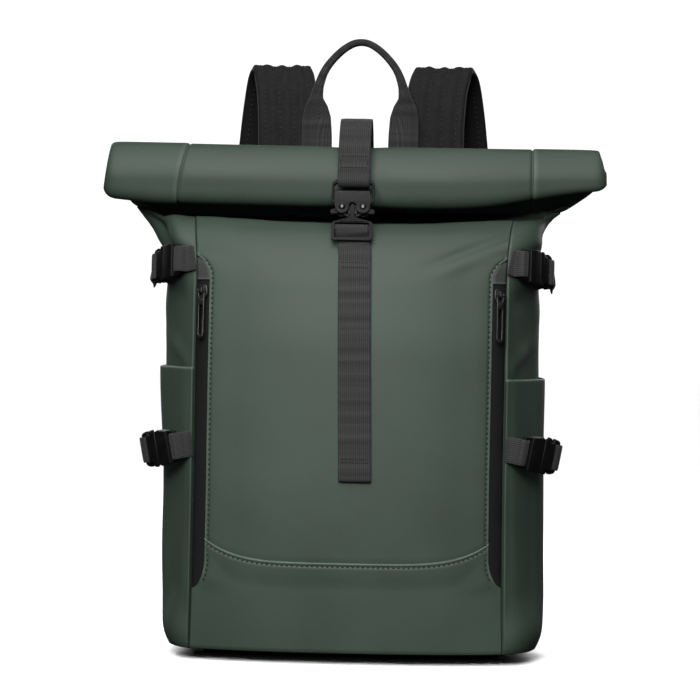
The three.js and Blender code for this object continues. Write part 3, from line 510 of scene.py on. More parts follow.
def shades(tree, factor, *stops):
    """Colours along a factor, from (place, hex) pairs."""
    colour = node(tree, "ValToRGB", {"Fac": factor}, "Color")
    elements = colour.node.color_ramp.elements
    for k, (at, code) in enumerate(stops):
        stop = elements[k] if k < 2 else elements.new(at)
        stop.position, stop.color = at, linear(code)
    return colour


def laid_over(tree, share, base, code):
    return node(tree, "Mix", {0: share, 6: base, 7: linear(code)}, 2, data_type="RGBA")


# The per-point value that pales cloth folds (wear and painted highlight) and darkens one pad face (painted shade)
def wear_and_painted_light_share(tree):
    return node(tree, "Attribute", output="Fac", attribute_name="wear_and_painted_light")


def weave_axes(tree):
    """Millimetres across and along a strap."""
    across = node(tree, "SeparateXYZ", {0: node(tree, "UVMap", uv_map="weave")})
    return across, across.node.outputs[1]


def new_finish(name, **values):
    """A material and its nodes, with the numbers that are the same all over set on the shader."""
    finish = bpy.data.materials.new(name)
    finish.use_nodes = True
    shader = finish.node_tree.nodes["Principled BSDF"]
    for socket, value in values.items():
        shader.inputs[socket.replace("_", " ").title().replace("Ior", "IOR")].default_value = value
    return finish, finish.node_tree


def surfaced(finish, base, rough=None, bump=None):
    """Feeds the shader; bump is its strength, its depth in metres and what gives its height."""
    tree = finish.node_tree
    fed = {"Base Color": base}
    if rough is not None:
        fed["Roughness"] = rough
    if bump is not None:
        fed["Normal"] = node(tree, "Bump", dict(zip(("Strength", "Distance", "Height"), bump)))
    for name, socket in fed.items():
        tree.links.new(socket, tree.nodes["Principled BSDF"].inputs[name])
    return finish


def coated_cloth(name, dark, mid, light, scuff_and_highlight):
    """Polyester cloth with a matte polyurethane coat, calendered: an even dull colour with a broad soft shine, a
    pebble too fine to see that is drawn at 1.3 mm so that it shows, and paler folds: rubbed coat and painted
    highlight."""
    finish, tree = new_finish(name, ior=1.5)
    cloud, grain, patches = noise(tree, 0.08, 3.0), noise(tree, 0.0013, 2.0), noise(tree, 0.012, 2.0)
    base = shades(tree, cloud, (0.3, dark), (0.5, mid), (0.72, light))
    speck = varied(tree, grain, 0.94, 1.06)
    base = node(tree, "Mix", {0: 1.0, 6: base, 7: speck}, 2, data_type="RGBA", blend_type="MULTIPLY")
    # Paler folds and seams: rubbed coat, and a painted highlight along the edges
    wear_and_highlight_mask = maths(tree, "MULTIPLY", wear_and_painted_light_share(tree), patches, clamp=True)
    base = laid_over(tree, wear_and_highlight_mask, base, scuff_and_highlight)
    return surfaced(finish, base, varied(tree, cloud, 0.6, 0.68), (0.22, 0.0002, grain))


def ribbed_webbing(name, dark, light):
    """Polyester webbing woven in ribs 1.6 mm wide that run along it, with weft ticks every 1.3 mm: dull, with a
    painted highlight on the rib crowns, painted shade between them, and uneven bands where the weft is tighter."""
    finish, tree = new_finish(name, roughness=0.78, ior=1.5, sheen_weight=0.12, sheen_roughness=0.5)
    across, along = weave_axes(tree)
    rib = maths(tree, "COSINE", maths(tree, "MULTIPLY", across, math.pi / 1.6))
    weft = maths(tree, "MULTIPLY", along, math.pi / 1.3)
    weft = maths(tree, "MULTIPLY_ADD", maths(tree, "SIGN", rib), math.pi / 4, weft)
    tick = ranged(tree, maths(tree, "ABSOLUTE", maths(tree, "SINE", weft)), 0.0, 1.0, 0.5, 1.0)
    height = maths(tree, "MULTIPLY", maths(tree, "ABSOLUTE", rib), tick)
    band_at = node(tree, "CombineXYZ", {0: 0.0, 1: along})
    bands = node(tree, "TexNoise", {"Vector": band_at, "Scale": 1 / 6, "Detail": 2.0}, "Fac")
    tone = maths(tree, "MULTIPLY_ADD", bands, 1.7, -0.83)
    # The rib relief goes into the colour: painted highlight on the crowns, painted shade in the hollows
    tone = maths(tree, "MULTIPLY_ADD", height, 0.7, tone, clamp=True)
    return surfaced(finish, shades(tree, tone, (0.05, dark), (0.95, light)), bump=(0.6, 0.0004, height))


def pad_cover(name, dark, light, painted_shade):
    """Woven polyester over foam: a plain weave of 0.6 mm threads, drawn at 2.2 mm so that it shows, which gives
    a dull surface with a fine even check and pale fibres where it is stretched. One face is painted near black as
    shade."""
    finish, tree = new_finish(name, roughness=0.85, ior=1.5, specular_ior_level=0.3)
    threads = [maths(tree, "SINE", maths(tree, "MULTIPLY", axis, math.pi / 1.1)) for axis in weave_axes(tree)]
    check = maths(tree, "MULTIPLY", *threads)
    tone = maths(tree, "MULTIPLY_ADD", check, 0.28, noise(tree, 0.004, 3.0), clamp=True)
    # Painted shade: the marked face takes the near-black colour
    base = laid_over(tree, wear_and_painted_light_share(tree), shades(tree, tone, (0.2, dark), (0.8, light)), painted_shade)
    return surfaced(finish, base, bump=(0.45, 0.0003, tone))


def hard_finish(name, dark, light, edge, roughness, grain, shine):
    """A coated or moulded black part: fine texture, slightly uneven gloss, and paler edges, partly worn where it is
    handled and partly a painted highlight.
    """
    finish, tree = new_finish(name, ior=1.5, specular_ior_level=shine)
    cloud = noise(tree, 0.006, 4.0)
    # Paler edges: wear, and a painted highlight along them
    wear_and_highlight_mask = ranged(tree, node(tree, "NewGeometry", output="Pointiness"), 0.52, 0.62, 0.0, 0.6)
    wear_and_highlight_mask = maths(tree, "MULTIPLY", wear_and_highlight_mask, cloud, clamp=True)
    base = laid_over(tree, wear_and_highlight_mask, shades(tree, cloud, (0.35, dark), (0.7, light)), edge)
    rough = varied(tree, cloud, roughness - 0.06, roughness + 0.08)
    return surfaced(finish, base, rough, (0.15, 0.0001, noise(tree, grain, 2.0)))


def rivet_steel():
    """Turned steel rivets, tumbled smooth and blackened: a dark mirror that holds one small bright spot."""
    finish, tree = new_finish("blackened_rivet_steel", metallic=1.0)
    cloud = noise(tree, 0.002, 3.0)
    return surfaced(finish, shades(tree, cloud, (0.3, "#3c3c3e"), (0.7, "#565658")), varied(tree, cloud, 0.3, 0.4))


def zip_film():
    """Woven zip tape under a smooth black polyurethane film: near black, with a long soft shine and fine dust."""
    finish, tree = new_finish("zip_film", ior=1.48, specular_ior_level=0.25)
    cloud = noise(tree, 0.02, 4.0)
    base = shades(tree, cloud, (0.3, "#050606"), (0.7, "#0a0c0b"))
    return surfaced(finish, base, varied(tree, cloud, 0.74, 0.86), (0.12, 0.0002, noise(tree, 0.0009, 2.0)))


def thread_finish(name, dark, light):
    """Bonded polyester sewing thread: two-ply, with a twist every 0.8 mm and a slight shine."""
    finish, tree = new_finish(name, roughness=0.6, ior=1.5)
    ply = noise(tree, 0.0008, 2.0)
    return surfaced(finish, shades(tree, ply, (0.3, dark), (0.7, light)), bump=(0.3, 0.0002, ply))


# The last colour of each cloth is that of its paler folds and seams: rubbed coat and painted highlight
CLOTH = coated_cloth("green_coated_cloth", "#28362c", "#2c3b31", "#314136", "#65766a")
CHARCOAL_CLOTH = coated_cloth("charcoal_coated_cloth", "#191d1a", "#1d211e", "#222623", "#565c58")
# The pad cover's last colour is painted shade, laid on one face of the shoulder pads
PAD = pad_cover("woven_pad_cover", "#0b0b0b", "#1c1c1c", "#030303")
WEAVE = ribbed_webbing("ribbed_webbing", "#060606", "#313131")
ZIP_FILM = zip_film()
# Die-cast zinc with sprayed and baked black enamel: a hard gloss with small clear lights
ZIP_PAINT = hard_finish("black_zip_paint", "#060606", "#0c0c0c", "#3c3c3c", 0.34, 0.0006, 0.5)
# Die-cast zinc with a satin black powder coat: an even dull black, with pale edges that are partly rubbed and partly
# a painted highlight
BUCKLE_COAT = hard_finish("satin_black_die_casting", "#060606", "#0d0d0d", "#8a8a88", 0.5, 0.0007, 0.12)
RIVET_STEEL = rivet_steel()
# Acetal moulded against an etched tool: a deep dull black with a fine grain and soft lights
ACETAL = hard_finish("moulded_acetal", "#040404", "#0a0a0a", "#161616", 0.54, 0.0008, 0.18)
GREEN_THREAD = thread_finish("green_thread", "#0a0d0b", "#161c18")
BLACK_THREAD = thread_finish("black_thread", "#080808", "#181818")

# The front: the pocket's face between the zips, the foot panel under its curved seam, and the zips
ZIP_TOP, ZIP_ARC = 295, 313.5  # lower edge and top of the patch over the zip's upper end
ZIP_LOW = {"left": 56, "right": 61}
ZIP_FOOT = 27  # height of the round corner at the zip's lower end
ZIP_INNER, ZIP_OUTER = 0.9575, 0.9995  # a of the zip's two edges
ACROSS_FRONT = 263  # millimetres along the cloth for each unit of a near the corners
CLOTH_TOP = NECK_Z + 7  # the panels end under the roll
FOLD = 1.1  # radius of a folded cloth edge
EDGE_FALL = 2.3  # how far a folded edge falls away
CLOTH_THICK = 1.4
STITCH_IN = 3.1  # how far a row of stitches lies inside a folded edge
GROOVE = 0.5  # how far it draws the cloth in
SEAM_STEP = 1.3  # how far the foot panel stands over the curved seam
TOPSTITCH = {"length": 2.0, "pitch": 3.9, "thread": 0.75, "rise": 0.1}
BAR_STITCH = {"length": 2, "pitch": 2.6, "thread": 0.4, "rise": 0.1}
PAD_STITCH = {"length": 3, "pitch": 4.2, "thread": 0.45, "rise": 0.15}
FOOT_ROWS = [0, 0.6, 1.5, 2.5, 3.5, 4.5, 5.5, 6.5, 7.5, 8.5]
EDGE_STEPS = np.array([0, 0.12, 0.35, 0.7, 1.1, 1.7, 2.3, 2.7, 3.1, 3.5, 3.9, 4.6, 6, 8, 11, 15, 20])


def pocket_edge(z, hand):
    """a of the pocket face's folded edge beside a zip, as if on the right; 1 is the corner seam."""
    foot = np.sqrt(1 - np.clip(1 - (np.asarray(z, float) - ZIP_LOW[hand]) / ZIP_FOOT, 0, 1) ** 2)
    head = np.sqrt(np.clip((ZIP_ARC - np.asarray(z, float)) / 12, 0, 1))
    return mix(1, ZIP_INNER, np.minimum(foot, head))


def seam_sag(a, z):
    """How far the curved seam hangs, and the rows of cloth above and below it with it."""
    s = np.abs(2 * a - 1) / 0.94
    reach = np.where(z < SEAM_Z, smooth(FOOT_RADIUS, SEAM_Z, z), 1 - smooth(SEAM_Z, SEAM_Z + 80, z))
    return SEAM_DIP * np.clip(1 - s**5, 0, 1) * reach


def turned_under(z):
    """How far the lowest edge of the cloth is drawn in under the bag, which leaves a shadow there."""
    return -13 * (1 - smooth(2.5, 9.5, z))


def front_sag(a, z):
    """Soft pulls and hollows in the front cloth."""
    p = tube(a, z)
    x, z = p[..., 0], p[..., 2]
    above = z - 333 - 0.4 * (x - 120)
    crease = (1.3 * hump(above, -9, 6) - 1.9 * hump(above, 0, 3.6)) * smooth(48, 90, x)
    below_strap = -0.8 * hump(x, 0, 22) * smooth(200, 300, z)
    return crease + below_strap + 0.5 * unevenness(x, z, 120, 1) * smooth(0, 40, z)


def fold_profile(d):
    """How a folded edge falls away: 0 on the flat, 1 at the very edge. d is the distance inside the edge."""
    t = np.clip(1 - d / FOLD, 0, 1)
    return 1 - np.sqrt(np.clip(1 - t * t, 0, 1))


def sewn_groove(d):
    return hump(d, STITCH_IN, 0.9)


# A pale band just inside a folded edge: partly wear, partly a painted highlight
def edge_wear_and_highlight(d):
    return hump(d, 0.9, 0.7)


def front_columns(z, count=44):
    """a, the distance from the nearer edge, and the height, for every column of the front at heights z."""
    right_edge, left_edge = pocket_edge(z, "right")[:, None], 1 - pocket_edge(z, "left")[:, None]
    right = right_edge - EDGE_STEPS[::-1] / ACROSS_FRONT
    left = left_edge + EDGE_STEPS / ACROSS_FRONT
    middle = mix(left[:, -1:], right[:, :1], np.linspace(0, 1, count + 2)[1:-1])
    a = np.concatenate([left, middle, right], 1)
    d = np.minimum(a - left_edge, right_edge - a) * ACROSS_FRONT
    return a, np.clip(d, 0, None), np.broadcast_to(z[:, None], a.shape)


def beside_zip(z):
    return smooth(ZIP_LOW["left"] - 2, ZIP_LOW["right"] + 10, z) * (1 - smooth(ZIP_ARC - 1, ZIP_ARC + 5, z))


def zip_side(d, z):
    """How far the cloth beside a zip stands out, with the groove that its stitches draw in."""
    return (1.1 * (1 - smooth(4, 28, d)) - GROOVE * sewn_groove(d)) * beside_zip(z)


def foot_unevenness(a, z):
    return 0.4 * unevenness(a * 250, z, 110, 2) * smooth(4, 40, z)


def add_front():
    a, d, rows = front_columns(np.concatenate([
        np.linspace(86, 292, 72), np.linspace(294, 324, 26), np.linspace(326, CLOTH_TOP, 16)]))
    height = rows - seam_sag(a, rows)
    under = -0.8 * (1 - smooth(SEAM_Z - 4, SEAM_Z + 2, rows))
    out = zip_side(d, rows) - EDGE_FALL * fold_profile(d) + under + front_sag(a, height)
    # Pale folded edges beside the zips: partly wear, partly a painted highlight
    wear_and_painted_light = 0.8 * edge_wear_and_highlight(d) * beside_zip(rows) * smooth(94, 99, rows)
    add_piece("front_panel_cloth", tube_shell(a, height, out, CLOTH_THICK, wear_and_painted_light), CLOTH, "front_panel")

    near_seam = np.array([6.5, 5, 4.2, 3.6, 3.1, 2.6, 2, 1.5, 1.1, 0.7, 0.35, 0.12, 0])
    a, d, rows = front_columns(np.concatenate([
        FOOT_ROWS, np.linspace(9.5, 52, 16), np.linspace(53.5, 86, 30), SEAM_Z - near_seam]))
    top = np.maximum(SEAM_Z - rows, 0)
    over = SEAM_STEP * (1 - smooth(4, 26, top)) - GROOVE * sewn_groove(top)
    side = np.maximum(zip_side(d, rows), over) - EDGE_FALL * np.maximum(fold_profile(d), fold_profile(top))
    out = side + foot_unevenness(a, rows) + turned_under(rows)
    # Pale edges along the curved seam's fold and beside the zips: partly wear, partly a painted highlight
    wear_and_painted_light = 0.7 * hump(top, 0.8, 0.7) + 0.7 * edge_wear_and_highlight(d) * beside_zip(rows)
    mesh = tube_shell(a, rows - seam_sag(a, rows), out, CLOTH_THICK, wear_and_painted_light)
    add_piece("front_foot_cloth", mesh, CLOTH, "front_foot")

    # Topstitching inside the folded edges and along the curved seam
    stitches = []
    for hand in ("left", "right"):
        low = ZIP_LOW[hand]
        z = np.concatenate([np.linspace(low + 6, low + 40, 80), np.linspace(low + 41, ZIP_ARC - 1.4, 220)])
        a = pocket_edge(z, hand) - STITCH_IN / ACROSS_FRONT
        a = a if hand == "right" else 1 - a
        height = z - seam_sag(a, z)
        cloth = np.where(z > SEAM_Z, front_sag(a, height), foot_unevenness(a, z))
        path = on_tube(a, height, zip_side(STITCH_IN, z) + cloth)
        stitches.append(stitch_row(path, tube_normal(a, height), **TOPSTITCH))
    a, z = np.linspace(0.06, 0.94, 300), SEAM_Z - STITCH_IN
    path = on_tube(a, z - seam_sag(a, z), SEAM_STEP - GROOVE + foot_unevenness(a, z))
    stitches.append(stitch_row(path, tube_normal(a, z), **TOPSTITCH))
    add_stitching("front_topstitching", stitches, GREEN_THREAD)


def add_zips():
    across = np.array([0, 0.12, 0.25, 0.38, 0.5, 0.62, 0.75, 0.88, 1])
    film = np.array([-0.5, -0.3, -0.2, -0.1, -0.1, -0.2, -0.4, -0.8, -1.4])
    t = np.linspace(0, 1, 14)
    for hand in ("right", "left"):
        low = ZIP_LOW[hand]
        z = np.concatenate([np.linspace(low - 3, low + 66, 36), np.linspace(low + 72, ZIP_TOP + 4, 60)])[:, None]
        edge = pocket_edge(z, hand)
        bare = smooth(0, 0.02, 1 - edge)
        a = mix(edge - 1.6 / ACROSS_FRONT, ZIP_OUTER, across)
        mesh = tube_shell(a, z, film * bare - 0.4 * (1 - bare), 0.8)
        add_piece(f"zip_film_{hand}", mirror_mesh(mesh, hand), ZIP_FILM, f"zip_tape_{hand}")

        # The cloth patch that covers the zip's upper end, with its lower edge folded
        folded = ZIP_TOP + np.array([0, 0.12, 0.35, 0.7, 1.1, 1.8, 3])
        z = np.concatenate([folded, np.linspace(ZIP_TOP + 5, ZIP_ARC - 0.6, 14)])[:, None]
        a = mix(pocket_edge(z, hand) - 1.2 / ACROSS_FRONT, ZIP_OUTER, t)
        out = 1.15 - 1.2 * fold_profile(z - ZIP_TOP) - 0.9 * (1 - smooth(0, 0.12, t))
        out = out - 1.4 * smooth(0.9, 1, t) - 1.2 * smooth(ZIP_ARC - 6, ZIP_ARC, z)
        # The patch's folded lower edge is paler: partly wear, partly a painted highlight
        mesh = tube_shell(a, z, out, 0.9, 0.9 * edge_wear_and_highlight(z - ZIP_TOP))
        add_piece(f"zip_end_patch_{hand}", mirror_mesh(mesh, hand), CHARCOAL_CLOTH)
        add_slider(hand)


SLIDER_Z, SLIDER_A = 286, 0.9735
PULL_LENGTH, PULL_HALF, PIN_Z = 37, 3.4, 4.1


def add_slider(hand):
    """A zip slider with its arched bridge and pin, and the forked pull that hangs on the pin."""
    normal = tube_normal(SLIDER_A, SLIDER_Z)
    up = unit(tube(SLIDER_A, SLIDER_Z + 1) - tube(SLIDER_A, SLIDER_Z - 1))
    across = unit(np.cross(up, normal))
    there = basis(on_tube(SLIDER_A, SLIDER_Z, 1.8), across, np.cross(normal, across), normal, hand)
    body = [(-2.6, -5), (2.6, -5), (4, -2.5), (4.2, 1), (3.8, 4), (2.2, 5)]
    body += [(-2.2, 5), (-3.8, 4), (-4.2, 1), (-4, -2.5)]
    bridge = [(-2.4, 1.2), (3.4, 1.2), (3.4, 3.6), (2.2, 5.2), (-1.2, 5.2), (-2.4, 3.6)]
    upright = Matrix([[0, 0, 1, 0], [1, 0, 0, 0], [0, 1, 0, 0], [0, 0, 0, 1]])
    arch = placed(plate([bridge], -1.1, 1.1, 0.35), upright)
    pin = rod((-3.4, 0, PIN_Z), (3.4, 0, PIN_Z), 0.8, 0.25, 14)
    slider = joined([plate([body], 0, 2, 0.55), arch, pin])
    add_hard(f"zip_slider_body_{hand}", slider, there, ZIP_PAINT, f"zip_slider_{hand}")

    tip = PULL_HALF * 0.85
    outline = [(-PULL_HALF, 1.2), (-PULL_HALF * 0.9, -8), (-tip, -17)]
    outline += arc(0, -PULL_LENGTH + tip, tip, 180, 360, 12)
    outline += [(tip, -17), (PULL_HALF * 0.9, -8), (PULL_HALF, 1.2), (1.5, 1.2), (1.5, -4.4)]
    outline += [(0.9, -5), (-0.9, -5), (-1.5, -4.4), (-1.5, 1.2)]
    window = rounded_box(-1.1, -PULL_LENGTH + 2.4, 1.1, -11, 1.0)
    tab = plate([outline, window], PIN_Z - 0.9, PIN_Z + 0.9, 0.4)
    knuckles = [rod((s * 1.5, 0, PIN_Z), (s * PULL_HALF, 0, PIN_Z), 1.75, 0.3, 16) for s in (-1, 1)]
    pull = joined([tab, *knuckles])
    add_hard(f"zip_pull_tab_{hand}", pull, there, ZIP_PAINT, f"zip_pull_{hand}", body=f"zip_pull_{hand}")


# The sides: gussets with their seams turned in, and the bottle pockets
GUSSET_WIDTH, BACK_WIDTH = 118, 278  # millimetres along the cloth
GUSSET_SHARES = close_at_edges([0, 0.001, 0.003, 0.006, 0.01, 0.016, 0.026, 0.04], 0.06, 41)
POCKET_SHARES = close_at_edges([0.004, 0.008, 0.012, 0.018, 0.028, 0.045], 0.07, 36)
POCKET_TOP = {"left": 227.5, "right": 222}
# Folds behind the front corners, under the roll: middle and width of the swell, depth of the hollow behind it
LOBES = {"left": (0.13, 0.08, 10), "right": (0.22, 0.15, 0)}


def turned_in(share, width):
    """A sewn edge that rolls under, at both ends of 0 to 1."""
    return -EDGE_FALL * fold_profile(np.minimum(share, 1 - share) * width)


def tucked_under(z, share):
    """How far the lower corners of the sides are drawn in."""
    rounded = -6 * (1 - smooth(0, 30, z)) ** 1.5 * np.sin(math.pi * np.clip(share, 0, 1)) ** 0.5
    return rounded + turned_under(z) * (1 - smooth(0.5, 0.97, share))


def side_flatness(share):
    """The sides turn sharply behind the front corner and run on flat to their middle."""
    face = np.sin(math.pi * np.clip((share - 0.02) / 0.45, 0, 1)) * (1 - smooth(0.3, 0.5, share))
    return 1.2 * hump(share, 0.02, 0.014) - 6.5 * face


def strap_pinch(z, share, hand):
    """The cloth swells above and below the straps that are drawn tight round it."""
    bulge = (1.2 * hump(z, 276, 15) + 2.6 * hump(z, 329, 11)) * np.sin(math.pi * np.clip(share, 0, 1)) ** 1.2
    middle, width, hollow = LOBES[hand]
    lobe = 6 * hump(share, middle, width) - hollow * hump(share, 0.33, 0.08)
    lobe = lobe * smooth(316, 326, z) * (1 - smooth(338, 350, z))
    slack = 2.2 * hump(z - 60 * share, 226, 7) * hump(share, 0.22, 0.16)
    flat = side_flatness(share) * smooth(20, 60, z) * (1 - smooth(280, 305, z))
    return bulge + lobe + slack + flat + tucked_under(z, share)


def add_sides():
    down = np.array([0, 0.1, 0.3, 0.7, 1.1, 2, 4, 6.5, 8.6, 9.3, 10, 10.7, 11.4, 13, 16])
    for hand, first in (("right", 1), ("left", 3)):
        rows, share = grid(np.concatenate([FOOT_ROWS, np.linspace(9.5, CLOTH_TOP, 86)]), GUSSET_SHARES)
        back = share if hand == "right" else 1 - share
        wave = unevenness(share * 120 + first * 31, rows, 95, first) * np.sin(math.pi * share)
        out = turned_in(share, GUSSET_WIDTH) + strap_pinch(rows, back, hand) + 0.9 * wave * smooth(10, 60, rows)
        # Pale edge by the front seam: partly wear, partly a painted highlight
        mesh = tube_shell(first + share, rows, out, CLOTH_THICK, 0.5 * hump(share, 0.008, 0.006))
        add_piece(f"gusset_cloth_{hand}", mesh, CLOTH, f"gusset_{hand}")

        top = POCKET_TOP[hand]
        z = np.concatenate([FOOT_ROWS[3:], np.linspace(9.5, top - 20, 48), top - down[::-1]])
        rows, share = grid(z, POCKET_SHARES)
        back = share if hand == "right" else 1 - share
        slack = smooth(mix(10, top, 0.5), top, rows) * np.sin(math.pi * share) ** 1.1
        edge = fold_profile(np.minimum(share - POCKET_SHARES[0], POCKET_SHARES[-1] - share) * GUSSET_WIDTH)
        wave = unevenness(share * 120, rows, 80, first + 4) * np.sin(math.pi * share)
        out = 1.9 + 2.6 * slack - 1.7 * edge - 1.6 * fold_profile(top - rows)
        out = out + side_flatness(back) * smooth(20, 60, rows) + tucked_under(rows, back)
        out = out - 1.2 * (1 - smooth(2, 18, rows)) + 0.8 * wave * smooth(20, 70, rows)
        # The pocket's folded hem is paler: partly wear, partly a painted highlight
        mesh = tube_shell(first + share, rows, out, 1.3, edge_wear_and_highlight(top - rows))
        add_piece(f"side_pocket_cloth_{hand}", mesh, CLOTH, f"side_pocket_{hand}")


# The rolled mouth
ROLL_LIFT = 1.5  # how far its left end is raised
ROLL_END_SLANT = {-1: (5, 1.5), 1: (6, 3)}  # how far its upper corners are drawn in, and how roundly
ROLL_END_ROUND = 10
ROLL_SQUARE = 1.5  # how square the front of its lower half is
ROLL_SLIM, ROLL_SLIM_FROM = 0.26, 60  # how much thinner its right end is, and from where on
ROLL_SAG = 0.36  # how much longer its lower half hangs than its upper half
ROLL_DROOP = 8  # how far its front face sinks, so that it leans back
ROLL_GUSSET = 130  # millimetres along the cloth over a gusset


def roll_point(a, degrees, out):
    """Points of the cloth carried round the roll, out from its middle surface."""
    x, y = np.moveaxis(tube(a, ROLL_TOP_Z)[..., :2], -1, 0)
    slim = 1 - ROLL_SLIM * smooth(ROLL_SLIM_FROM, MOUTH_HALF, x)
    outer = ROLL_RADIUS * slim
    radius = outer - ROLL_PITCH * slim * degrees / 360 + (y - SHEET_Y) + out
    middle_z = ROLL_TOP_Z + ROLL_LIFT * smooth(0, MOUTH_HALF, -x) - outer - 2
    c, s = np.cos(np.radians(degrees)), np.sin(np.radians(degrees))
    drawn_in = [depth * smooth(168, MOUTH_HALF, side * x) * (0.5 + 0.5 * s) ** power
                for side, (depth, power) in ROLL_END_SLANT.items()]
    seam_shift = 8 * hump(x, -139, 30) * smooth(0, 40, degrees) * (1 - smooth(60, 230, degrees))
    x = x + drawn_in[0] - drawn_in[1] + seam_shift
    low, forward = np.clip(-s, 0, 1), np.clip(-c, 0, 1)
    power = 2 + ROLL_SQUARE * smooth(0, 0.5, low) * smooth(0, 0.5, -c)
    full = (np.abs(c) ** power + np.abs(s) ** power) ** (-1 / power)
    past = np.clip((np.abs(x) - MOUTH_HALF + ROLL_END_ROUND) / ROLL_END_ROUND, 0, 1)
    radius = radius * full - 0.8 * ROLL_END_ROUND * (1 - np.sqrt(1 - past**2))
    ends_up = low * (4.5 * smooth(150, 205, -x) + 6.5 * smooth(95, 195, x))
    height = radius * (1 + ROLL_SAG * (low > 0)) * s + ends_up - ROLL_DROOP * forward**1.6
    return np.stack([x, SHEET_Y - outer + radius * c, middle_z + height], -1)


def add_roll():
    side = close_at_edges([0, 0.002, 0.005, 0.01, 0.018, 0.03, 0.05], 0.09, 26)[:-1]
    columns = np.concatenate([side + k for k in range(4)])
    on_gusset = np.mod(columns, 2) >= 1
    seam = np.abs(columns - np.round(columns)) * np.where(on_gusset, ROLL_GUSSET, BACK_WIDTH)
    step = np.where(on_gusset, 0.5 * smooth(0, 1.6, seam), 0) - 0.9 * hump(seam, 0, 0.7)
    loops = [on_cloth(columns, z, -2.8) for z in (352, 350, 348)]
    for z in (*range(348, 357), 358, 360, 362, 364, 367, 370, 374):
        loop = on_cloth(columns, z, step - 1.3 * (1 - smooth(352, 357, z)))
        loop[:, 0] -= 3.5 * smooth(358, 370, z) * smooth(174, MOUTH_HALF, loop[:, 0])
        loops.append(loop)
    wave = 0.5 * unevenness(columns * 80, 0, 60, 5)
    dent = -1.2 * hump(tube(columns, 400)[:, 0], 0, 20)
    outside = (columns > 1.5) & (columns < 3.5)
    for degrees in np.linspace(0, ROLL_TURN, 92):
        soft = smooth(0, 40, degrees) * (0.5 * unevenness(columns * 90, degrees * 0.4, 70, 3) + wave * 0.5)
        out = np.where(outside, step + (soft + dent) * smooth(0, 60, degrees), 0)
        loops.append(roll_point(columns, degrees, out))
    loops = np.array(loops)
    # Pale band beside the seams over the gussets: partly wear, partly a painted highlight
    wear_and_painted_light = np.broadcast_to(0.5 * hump(seam, 1.6, 0.9) * on_gusset, loops.shape[:2])
    add_piece("rolled_mouth_cloth", loft(loops, wear_and_painted_light=wear_and_painted_light.ravel()), CLOTH, "roll_top")


# The back: a padded panel with two sewn channels, and the floor of the bag
BACK_HALF = 140  # half the width of the back
PAD_CHANNEL = 0.34  # half the share of the width between the two sewn lines
PAD_REACH, PAD_LOW, PAD_HIGH = 0.86, 26, 282  # the padded field: share of the half width, and its heights
BACK_SHARES = close_at_edges([0, 0.002, 0.005, 0.01, 0.016, 0.026, 0.04], 0.055, 61)


def swell(piece, sewn, pressure, cap):
    """Foam that pushes its cover out between the sewn lines: a short cloth simulation, applied to the mesh. cap
    is the furthest that a point may move, in metres."""
    rest = np.array([v.co for v in piece.data.vertices])
    group = piece.vertex_groups.new(name="sewn")
    group.add([int(k) for k in np.nonzero(sewn)[0]], 1.0, "REPLACE")
    foam = piece.modifiers.new("foam", "CLOTH")
    settings = foam.settings
    settings.quality = 6
    settings.mass = 0.2
    settings.use_pressure = True
    settings.uniform_pressure_force = pressure
    settings.vertex_group_mass = group.name
    settings.tension_stiffness = settings.compression_stiffness = 20
    settings.bending_stiffness = 0.4
    settings.effector_weights.gravity = 0
    foam.collision_settings.use_collision = False
    scene = bpy.context.scene
    for step in range(1, 21):
        scene.frame_set(step)
    seen = piece.evaluated_get(bpy.context.evaluated_depsgraph_get())
    moved = np.array([v.co for v in seen.data.vertices]) - rest
    far = np.linalg.norm(moved, axis=1, keepdims=True)
    moved = moved * np.minimum(1, cap / np.maximum(far, 1e-9))
    piece.modifiers.remove(foam)
    piece.vertex_groups.remove(group)
    scene.frame_set(1)
    piece.data.vertices.foreach_set("co", (rest + moved).astype(np.float32).ravel())
    piece.data.update()


def add_back():
    rows, share = grid(np.concatenate([[0, 0.6, 1.5, 3, 5, 7.5], np.linspace(10, NECK_Z + 1, 86)]), BACK_SHARES)
    s = np.abs(1 - 2 * share)
    inside = np.minimum(np.minimum((PAD_REACH - s) * BACK_HALF, rows - PAD_LOW), PAD_HIGH - rows)
    line = np.minimum(np.abs(s - PAD_CHANNEL) * BACK_HALF, np.abs(inside))
    out = turned_in(share, BACK_WIDTH) + 2.4 * smooth(0, 26, inside) * smooth(0, 14, line) - 0.8 * hump(line, 0, 1.6)
    mesh = tube_shell(2 + share, rows, out, 5, weave=np.stack([share * BACK_WIDTH, rows], -1))
    sewn = np.concatenate([((inside < 2) | (line < 2)).ravel(), np.ones(share.size, bool)])
    panel = add_piece("back_panel_pad", mesh, PAD, "back_panel")
    swell(panel, sewn, 4, 0.004)

    a = np.linspace(0, 4, 161)[:-1]
    drawn = tucked_under(0, np.where(a > 3, 4 - a, np.clip(a - 1, 0, 1))) - 1
    rim = on_tube(a, FOOT_RADIUS, drawn - FOOT_RADIUS)
    reach = (0.06, 0.5, 0.9, 0.985, 0.994)
    loops = np.array([mix(np.array([0, -2, 0]), rim, k) for k in reach + reach[::-1]])
    loops[:, :, 2] = np.array([0.35, 0.35, 0.3, 0.3, 0.9, 2.2, 3, 3, 3, 3])[:, None]
    add_piece("base_cloth", loft(loops), CLOTH, "base_panel")


# Straps of the closure
LEAN = math.radians(25)
BUCKLE_AT = (0, -43, 352)
BOX_FROM, BOX_TO, BOX_HALF = 11, 19.5, 10.5  # the stitched box: its ends along the strap, and half its width


def on_buckle(up, out):
    y = BUCKLE_AT[1] + up * math.sin(LEAN) - out * math.cos(LEAN)
    return np.array([0, y, BUCKLE_AT[2] + up * math.cos(LEAN) + out * math.sin(LEAN)])


